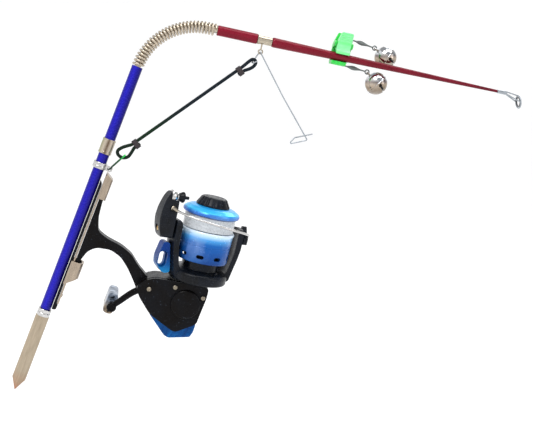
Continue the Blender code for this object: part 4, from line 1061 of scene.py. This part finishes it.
def build_bells():
    for number, bell in enumerate(BELLS, 1):
        x, y, z = bell["centre"]
        way_x, way_z = bell["hinge_way"]
        hinge = (x + way_x * BELL_HANG, y, z + way_z * BELL_HANG)
        root = bell["root"]
        bend = (root[0] + 8, (root[1] * 2 + y) / 3, (root[2] * 2 + hinge[2]) / 3)
        near = (hinge[0] - 1.6, y, hinge[2] + 0.2)
        path = through([root, bend, near], 16)
        count = len(path) - 1
        widths = [0.6 + 1.1 * math.sin(math.pi * min(max((k / count - 0.2) / 0.62, 0), 1)) ** 2
            for k in range(count + 1)]
        stem = leaf(strand(path, 1.0, ROD, radii=widths), path, widths, 0.6)
        eye = ring_wire(1.6, 0.5, frame=on_rod(*hinge) @ FLAT_XZ, around=32)
        settle(join(stem, eye), f"bell_stem_{number}", "stem_steel")

        inside = on_rod(x, y, z) @ turn(math.degrees(math.atan2(way_x, way_z)), "Y")
        steps = 44
        profile = []
        for k in range(1, steps):
            a = math.pi / 2 - math.pi * k / steps
            profile.append((BELL_R * math.cos(a), BELL_R * math.sin(a)))
        seam = [(BELL_R, 0.7), (BELL_R + 0.22, 0.45), (BELL_R + 0.22, -0.45), (BELL_R, -0.7)]
        upper = [p for p in profile if p[1] > 0.8]
        lower = [p for p in profile if p[1] < -0.8]
        profile = [(0, BELL_R), *upper, *seam, *lower, (0, -BELL_R)]
        shell = turned(profile, frame=inside, steps=80, soft=0.0)
        hollow = [(r * (1 - BELL_WALL / BELL_R), h * (1 - BELL_WALL / BELL_R))
            for r, h in profile if (r, h) not in seam]
        hollow = turned(hollow, frame=inside, steps=48, soft=0.0)
        slot = block((-BELL_R - 1, -0.8, -BELL_R - 1), (BELL_R + 1, 0.8, -1.6), inside)
        cross = block((-0.8, -BELL_R - 1, -BELL_R - 1), (0.8, BELL_R + 1, -1.6), inside)
        ends = [turned([(1.35, BELL_R + 1), (1.35, 4)], steps=24, soft=0.0,
            frame=inside @ shift(0, 0, -1.9) @ turn(90 * k, "Z") @ turn(90, "Y"))
            for k in range(4)]
        staple = ring_wire(1.6, 0.5, around=32,
            frame=inside @ shift(0, 0, BELL_HANG - 1.6) @ turn(90, "Y"))
        join(shell, staple)
        cut(shell, hollow, slot, cross, *ends)
        settle(shell, f"bell_shell_{number}", "bell_chrome")
        keep(f"bell_clapper_{number}", "dull_steel")


# ---------------------------------------------------------------- tether

def build_tether():
    lug = turn(ANCHOR_TURN, "Z") @ Vector((LUG_REACH, 0, (ANCHOR_BOTTOM + ANCHOR_TOP) / 2))
    top = Vector(LINK_TOP)
    way = (top - lug).normalized()
    side = way.cross(Vector((1, 0, -way.x / way.z))).normalized()
    link = []
    for centre, sign in ((top - way * LINK_R, 1), (lug + way * 1.8, -1)):
        for k in range(17):
            a = math.pi * k / 16
            link.append(tuple(centre + side * (sign * LINK_R * math.cos(a))
                + way * (sign * LINK_R * math.sin(a))))
    settle(strand(link, 0.55, closed=True), "tether_link", "link_green")

    low, high = (Vector(p) for p in TETHER_BOUND)
    along = (high - low).normalized()
    across = Vector((-along.z, 0, along.x)).normalized()
    reach = along * 2.6
    tail = -across * TAIL_GAP
    path = [low + tail + reach, low + tail - reach]
    path += [Vector((x, low.y, z)) for x, z in LOWER_EYE]
    path += [low - reach, low + reach, (low + high) / 2, high - reach, high + reach]
    path += [Vector((x, high.y, z)) for x, z in UPPER_EYE]
    path += [high + tail + reach, high + tail - reach]
    settle(strand(through(path, 10), TETHER_R), "tether_cord", "braided_cord")
    inner = TETHER_R + GAP
    for place, bound in (("lower", low), ("upper", high)):
        where = Matrix((across, along.cross(across), along)).transposed().to_4x4()
        where.translation = (bound + tail / 2) * MM
        settle(plate(stadium(TAIL_GAP / 2, inner + 0.6), 4.0, frame=where, edge=0.25,
            holes=[stadium(TAIL_GAP / 2, inner)]), f"tether_binding_{place}", "binding_thread")


# ---------------------------------------------------------------- reel body

def build_reel_body():
    housing = plate(rounded(HOUSING, 3.6, 8), 2 * HOUSING_HALF, frame=REEL_FLAT, edge=2.2,
        segments=6, full=True)
    foot = [(FOOT_BACK, FOOT_BOTTOM), (FOOT_BACK, FOOT_TOP), (FOOT_FACE, FOOT_TOP),
        (FOOT_FACE, 166), (13.2, 153), (16.6, 143.2), (25, 140.2), (37.3, 138.4), (47, 134.8),
        (55.9, 127.6), (64.7, 122.4), (74, 118), (70, 106), (62, 108), (56.2, 114.9),
        (48.3, 123.2), (39.9, 129.9), (30.6, 132.6), (19.7, 130.4), (14.5, 125.4),
        (FOOT_FACE, 116), (FOOT_FACE, FOOT_BOTTOM)]
    stem = plate(rounded(foot[::-1], 3.0, 5), 2 * FOOT_HALF_WIDTH, frame=FLAT_XZ, edge=1.35,
        segments=5)
    inset = [(-37.0, -9.5), (-37.5, -18.0), (-29.0, -28.4), (-10.0, -39.0), (4.2, -31.4),
        (5.5, -25.5), (7.5, -10.5), (7.6, -6.2), (-30.0, -6.2)]
    depth = HOUSING_HALF + 9.0
    cavity = plate(rounded(inset, 2.0, 4), depth,
        frame=REEL @ shift(0, 9.0 - depth / 2, 0) @ FLAT_XZ)
    neck = drum(6.9, 1, -10, REEL)
    shaft = drum(4.9, 14, 6, CRANK)
    join(housing, stem)
    cut(housing, cavity, neck, shaft)
    settle(housing, "reel_body", "reel_black")

    face = -HOUSING_HALF - GAP
    cover = plate(rounded(HOUSING, 3.4, 8), COVER_WALL, edge=1.1, segments=5,
        frame=REEL @ shift(0, face - COVER_WALL / 2, 0) @ FLAT_XZ)
    boss = turned([(12.2, face + 1.0), (12.2, face - 1.0), (12.0, face - 3.4), (10.8, face - 4.8),
        (0, face - 5.4)], frame=CRANK, soft=1.0)
    recess = drum(3.9, face + 1, face - 2.6, CRANK)
    join(cover, boss)
    cut(cover, recess)
    settle(cover, "side_cover", "reel_black")

    trim = [(-32.0, -31.3), (-9.9, -42.7), (6.1, -33.0), (5.4, -40.0), (3.5, -44.6),
        (-13.1, -48.2), (-17.0, -46.6)]
    settle(plate(rounded(trim, 1.4, 5), 2 * HOUSING_HALF - 1.0, frame=REEL_FLAT, edge=0.9,
        segments=4), "body_trim", "trim_blue")


def cross_slot(frame, top, reach=1.1):
    """Two cutters for a cross-head screw whose head ends at top on local Z."""
    return [block((-reach, -0.25, top - 0.6), (reach, 0.25, top + 1), frame),
        block((-0.25, -reach, top - 0.6), (0.25, reach, top + 1), frame)]


def build_reel_fittings():
    face = -HOUSING_HALF - GAP - COVER_WALL
    for number, (x, z) in enumerate(((-36.2, -11.1), (6.6, -10.3), (-16.5, -5.9)), 1):
        place = REEL @ shift(x, 0, z) @ turn(90, "X")
        top = 1.2 + GAP - face
        screw = turned([(1.4, top), (1.9, top - 0.6), (1.9, top - 1.2)], frame=place, soft=0.2)
        cut(screw, *cross_slot(place, top))
        settle(screw, f"cover_screw_{number}", "screw_zinc")
    keep("crank_bush", "machined_brass")
    keep("pinion_bearing", "bright_steel")
    keep("drive_gear", "machined_brass")
    keep("pinion_gear", "machined_brass")


# ---------------------------------------------------------------- reel drive

def build_crank():
    centre = CRANK.translation / MM
    end_x, end_z = CRANK_END
    path = through([(centre.x - 2, 25.5, centre.z), (85.8, 33, 109.7), (74.3, 44.5, 102.2),
        (64.2, 46.5, 93.6), (55.6, 48, 80.9), (end_x, 49, end_z)], 12)
    radii = [1.0 - 0.33 * k / (len(path) - 1) for k in range(len(path))]
    arm = strand(path, 3.6, radii=radii, around=8)
    hub = turned([(4.5, 29.5), (6.4, 28.5), (6.4, 22.4), (5.2, 21.8), (5.2, 14.0)], frame=CRANK,
        soft=0.6)
    hub_bore = drum(3.3, 22.0, 13.0, CRANK)
    pin_frame = shift(end_x, 0, end_z) @ turn(-90, "X")
    boss = turned([(3.9, KNOB_START - GAP), (4.1, 51.6), (4.1, 45.9), (3.5, 45.2), (2.2, 45.2),
        (2.1, 45.7)], frame=pin_frame, soft=0.3)
    pin = drum(1.6, KNOB_END - 4, KNOB_START - 1, pin_frame)
    join(arm, hub, boss, pin)
    cut(arm, hub_bore)
    settle(arm, "crank_arm", "reel_black")

    oval = rounded(rectangle(KNOB_OFFSET - KNOB_HALF_WIDTH, -KNOB_HALF_HEIGHT,
        KNOB_OFFSET + KNOB_HALF_WIDTH, KNOB_HALF_HEIGHT), 5.0, 10)
    middle = (KNOB_START + KNOB_NECK + KNOB_END) / 2
    knob = plate(oval, KNOB_END - KNOB_START - KNOB_NECK, edge=3.0, segments=8, full=True,
        frame=pin_frame @ shift(0, 0, middle))
    neck = turned([(4.0, KNOB_START + 6), (4.0, KNOB_START)], frame=pin_frame, soft=0.4)
    bore = drum(1.9, KNOB_END - 3.4, KNOB_START - 1, pin_frame)
    join(knob, neck)
    cut(knob, bore)
    settle(knob, "crank_knob", "knob_grey")


def build_rotor():
    rotor = turned([(14.5, 27), (14.5, 10), (21.0, 9), (23.0, 7.8), (23.6, 6), (23.4, 1.5),
        (22.4, 0.2)], [(4.2, 0.2), (4.2, 27)], ROTOR, steps=96, soft=0.9)
    arms = turned([(28.6, 47), (30.2, 44), (30.2, 30), (28.8, 21), (26.6, 11), (25.2, 3.6),
        (22.0, 2.0)], [(20.0, 4), (20.0, 8.0), (22.6, 11.5), (23.6, 17), (25.4, 27), (25.4, 47)],
        ROTOR, steps=120, soft=1.6)
    outline = rounded([(-9.0, 0), (9.0, 0), (8.0, 16), (7.4, 46.5), (-7.4, 46.5), (-8.0, 16)],
        5.0, 8)
    slab = plate(outline, 80, frame=side_on(ROTOR))
    keep_inside(arms, slab)
    join(rotor, arms)
    settle(bevel(rotor, 0.35, 3, 55), "rotor", "rotor_black")

    fin = rounded([(-25.9, 4.4), (-31.6, 3.4), (-37.6, 9.0), (-38.4, 16), (-35.8, 28.2),
        (-30.6, 28.2), (-29.2, 21), (-27.0, 11)], 2.4, 6)
    hole = [(x - 34.0, z + 14.6) for z, x in stadium(2.6, 2.6)]
    cover = plate(fin, 9.0, frame=ROTOR_FLAT, edge=0.6)
    window = plate(hole, 12.0, frame=ROTOR_FLAT)
    dish = [(x - 34.0, z + 14.6) for z, x in stadium(3.2, 3.5)]
    dishes = [plate(dish, 6.0, frame=ROTOR @ shift(0, side * 4.3, 0) @ FLAT_XZ)
        for side in (-1, 1)]
    settle(cut(cover, window, *dishes), "arm_cover", "fin_blue")
    settle(turned([(6.0, 29.4), (6.4, 28.8), (6.4, 27.3)], [(2.2, 27.3), (2.2, 29.4)], ROTOR,
        steps=6, soft=0.0), "rotor_nut", "bright_steel", crease=20)


def build_bail():
    outline = rounded([(-6.4, -6.6), (5.6, -6.6), (7.4, 2), (5.6, 10), (4.2, 20), (4.6, 29),
        (0.5, 31.6), (-4.0, 29), (-5.4, 20), (-8.0, 8)], 4.0, 8)
    bow = rounded([(-30.6, -7.6), (-39.6, -7.6), (-42.6, 0), (-43.8, 8), (-43.4, 16), (-41.2, 24),
        (-37.6, 30), (-30.6, 32.6)], 3.0, 8)
    arm = plate(bow, 16.0, frame=BAIL @ FLAT_XZ, edge=2.5, segments=7, full=True)
    face = plate(outline, 30, frame=side_on(BAIL @ shift(-36, 0, 0)))
    seat = drum(2.8, 4, -1.6, BAIL @ shift(-41.6, 0, 0) @ turn(-90, "Y"))
    at_roller = BAIL @ shift(-34.2, 0, 26) @ turn(90, "Y")
    roller_seat = drum(5.3, 14, -3.2, at_roller)
    axle = drum(1.3, 12.6, -5.0, at_roller)
    keep_inside(arm, face)
    cut(arm, seat, roller_seat)
    join(arm, axle)
    settle(bevel(arm, 0.5, 3, 50), "bail_arm", "rotor_black")

    rise = [(-35.0, -6.6, 17.5), (-32.6, -13.5, 16.8), (-26.5, -22.6, 16.0), (-15.5, -30.2, 14.8),
        (0, -33.6, 13.0), (14.5, -30.4, 10.8), (25.0, -21.8, 8.0), (30.6, -12.0, 4.6),
        (32.4, -5.6, 2.0)]
    path = through(rise, 12)
    radii = [2.3 - 1.3 * min(k / 14, 1) ** 0.7 for k in range(len(path))]
    wire = strand(path, 0.9, frame=BAIL, radii=radii)
    far_side = BAIL @ shift(BAIL_FOOT_X, 0, 0)
    far = far_side @ turn(90, "Y")
    foot = plate(rounded([(-6.4, -4.0), (3.6, -4.4), (4.8, 1), (3.6, 9.6), (0.6, 10.4),
        (-2.6, 4.6), (-6.6, 4.4)], 2.0, 6), 3.4, frame=side_on(far_side), edge=0.5)
    join(wire, foot)
    cut(wire, drum(1.7, 4, -4, far))
    bail = settle(wire, "bail_wire", "bright_steel")
    repaint(bail, "rotor_black", BAIL, lambda at: at.x > 30.4 and at.y > -6.8)
    repaint(bail, "champagne_nickel", BAIL, lambda at: at.x < -30.0 and at.y > -13.5)

    near = BAIL @ shift(-40.3, 0, 0) @ turn(-90, "Y")
    screw = turned([(2.2, 1.5), (2.5, 0.9), (2.5, 0.0)], frame=near, soft=0.3)
    cut(screw, *cross_slot(near, 1.5, 1.5))
    settle(screw, "bail_screw_near", "machined_brass")
    screw = turned([(2.2, 3.6), (2.6, 3.2), (2.6, 2.3), (1.4, 2.2), (1.4, -1.4)], frame=far,
        soft=0.2)
    cut(screw, *cross_slot(far, 3.6, 1.5))
    settle(screw, "bail_screw_far", "machined_brass")

    roller = turned([(3.8, 8.6), (4.4, 8.0), (4.2, 7.0), (3.0, 4.6), (3.0, 2.6), (4.6, 0.4),
        (4.9, -1.6), (4.7, -2.8)], [(1.6, -2.8), (1.6, 8.6)], at_roller, soft=0.5)
    roller = settle(roller, "line_roller", "bright_steel")
    repaint(roller, "rotor_black", at_roller, lambda at: at.z > 3.2)


def build_spool():
    keep("main_shaft", "bright_steel")
    keep("oscillation_slider", "machined_brass")
    keep("drag_washer", "dull_steel")
    spool = turned([(14.2, 61.0), (18.0, 60.2), (21.8, 58.0), (22.7, 56.4), (22.5, 54.8),
        (21.6, 54.2), (13.0, 54.0), (13.0, 42.4), (21.4, 42.2), (21.9, 41.4), (21.6, 40.2),
        (21.0, 39.0), (20.95, 31.0), (20.7, 30.8), (20.7, 30.4), (20.9, 30.2), (20.8, 18.4),
        (20.4, 17.4)], [(19.2, 17.4), (19.2, 37.5), (8.6, 38.4), (2.15, 38.4), (2.15, 56.0),
        (11.0, 56.0), (11.0, 61.0)], REEL, steps=120, soft=0.3)
    holes = []
    for k in range(9):
        place = REEL @ turn(40 * k + 20, "Z") @ shift(0, 0, 22.6) @ turn(90, "Y")
        holes.append(plate([(y, x) for x, y in stadium(1.5, 1.5)][::-1], 7,
            frame=place @ shift(0, 0, 20.5)))
    settle(cut(spool, *holes), "spool", "spool_blue")

    low, high, turns = 42.8, 53.6, 24
    winding = [(13.3, high)]
    for k in range(turns):
        pitch = (high - low) / turns
        top = high - pitch * k
        swell = 20.25 + 0.1 * math.sin(k * 0.9)
        for share, out in ((0.12, -0.28), (0.32, -0.05), (0.5, 0.0), (0.68, -0.05), (0.88, -0.28)):
            winding.append((swell + out, top - pitch * share))
    settle(turned(winding, [(13.3, low), (13.3, high - 0.02)], REEL, steps=96, soft=0.0),
        "line_winding", "fishing_line", crease=80)

    knob = turned([(0.0, 68.2), (6.2, 68.2), (6.5, 67.8), (7.0, 67.8), (7.3, 68.2), (9.2, 68.2),
        (10.4, 67.4), (11.4, 65.6), (12.4, 63.9), (13.4, 62.2), (13.4, 61.3), (10.4, 61.3),
        (10.4, 60.0), (2.2, 60.0), (2.2, 66.9), (0.0, 66.9)], frame=REEL, steps=144, soft=0.25)
    knob = baked_scallops(knob)
    settle(knob, "drag_knob", "rotor_black", crease=50)


def baked_scallops(knob):
    """Finger scallops round the drag knob's slope."""
    mesh = evaluated(knob)
    for vertex in mesh.vertices:
        radius = math.hypot(vertex.co.x, vertex.co.y)
        if radius > 9.4 * MM and vertex.co.z > 61.8 * MM:
            around = math.atan2(vertex.co.y, vertex.co.x)
            dip = max(0.0, math.cos(12 * around)) ** 2 * 0.9 * MM
            share = min(1.0, (radius - 9.4 * MM) / (1.5 * MM))
            scale = 1 - dip * share / radius
            vertex.co.x *= scale
            vertex.co.y *= scale
    return add(mesh, knob.matrix_world.copy())


# ---------------------------------------------------------------- studio

def direction(azimuth, elevation):
    """From the target towards a place at these angles in degrees, as a unit vector."""
    a, e = math.radians(azimuth), math.radians(elevation)
    return Vector((math.sin(a) * math.cos(e), -math.cos(a) * math.cos(e), math.sin(e)))


def build_studio():
    steps = 40
    profile = [(0.0, FLOOR_Z), (FLOOR_R, FLOOR_Z)]
    for k in range(1, steps + 1):
        a = math.pi / 2 * k / steps
        profile.append((FLOOR_R + SWEEP_R * math.sin(a), SWEEP_R + FLOOR_Z - SWEEP_R * math.cos(a)))
    profile.append((FLOOR_R + SWEEP_R, WALL_TOP))
    mesh = bpy.data.meshes.new("studio_sweep")
    mesh.from_pydata([(r * MM, 0.0, z * MM) for r, z in profile],
        [(i, i + 1) for i in range(len(profile) - 1)], [])
    sweep = linked("studio_sweep", mesh)
    sweep.location = (0.13, 0.0, 0.0)
    spun(sweep, 96, 0.01 * MM).use_smooth_shade = True
    mesh.materials.append(LOOKS["floor_paper"])

    world = bpy.data.worlds.new("studio_world")
    bpy.context.scene.world = world
    world.use_nodes = True
    background = world.node_tree.nodes["Background"]
    background.inputs["Color"].default_value = (0.92, 0.95, 1.0, 1.0)
    background.inputs["Strength"].default_value = 0.45

    target = Vector(CAMERA_TARGET) * MM
    for name, azimuth, elevation, distance, size, power in (
            ("key_softbox", -50.0, 48.0, 1.35, 0.6, 8.5),
            ("fill_softbox", 55.0, 34.0, 1.6, 0.8, 3.5),
            ("top_softbox", 10.0, 84.0, 1.2, 0.6, 5.0),
            ("rim_softbox", 165.0, 46.0, 1.5, 0.6, 5.0)):
        light = bpy.data.lights.new(name, "AREA")
        light.shape = "SQUARE"
        light.size = size
        light.energy = power
        lamp = linked(name, light)
        away = direction(azimuth, elevation)
        lamp.location = target + away * distance
        lamp.rotation_euler = away.to_track_quat("Z", "Y").to_euler()


def build_camera():
    back = direction(CAMERA_AZIMUTH, CAMERA_ELEVATION)
    right = turn(CAMERA_AZIMUTH, "Z") @ Vector((1.0, 0.0, 0.0))
    level = Matrix((right, back.cross(right), back)).transposed()
    rolled = level @ Matrix.Rotation(math.radians(CAMERA_ROLL), 3, "Z")
    data = bpy.data.cameras.new("camera")
    data.lens = CAMERA_LENS
    data.sensor_width = 36.0
    data.clip_start = 0.01
    camera = linked("camera", data)
    place = (Vector(CAMERA_TARGET) + back * CAMERA_DISTANCE) * MM
    camera.matrix_world = Matrix.Translation(place) @ rolled.to_4x4()
    bpy.context.scene.camera = camera
    bpy.context.scene.view_settings.view_transform = "Standard"


for step in (build_camera, lacquer_looks, metal_looks, plastic_looks, soft_looks, build_spike,
        build_tubes, build_anchor, build_seat, build_sliding_hood, build_spring, build_rod,
        build_tip_guide, build_trigger, build_clip, build_bells, build_tether, build_reel_body,
        build_reel_fittings, build_crank, build_rotor, build_bail, build_spool, build_studio):
    step()
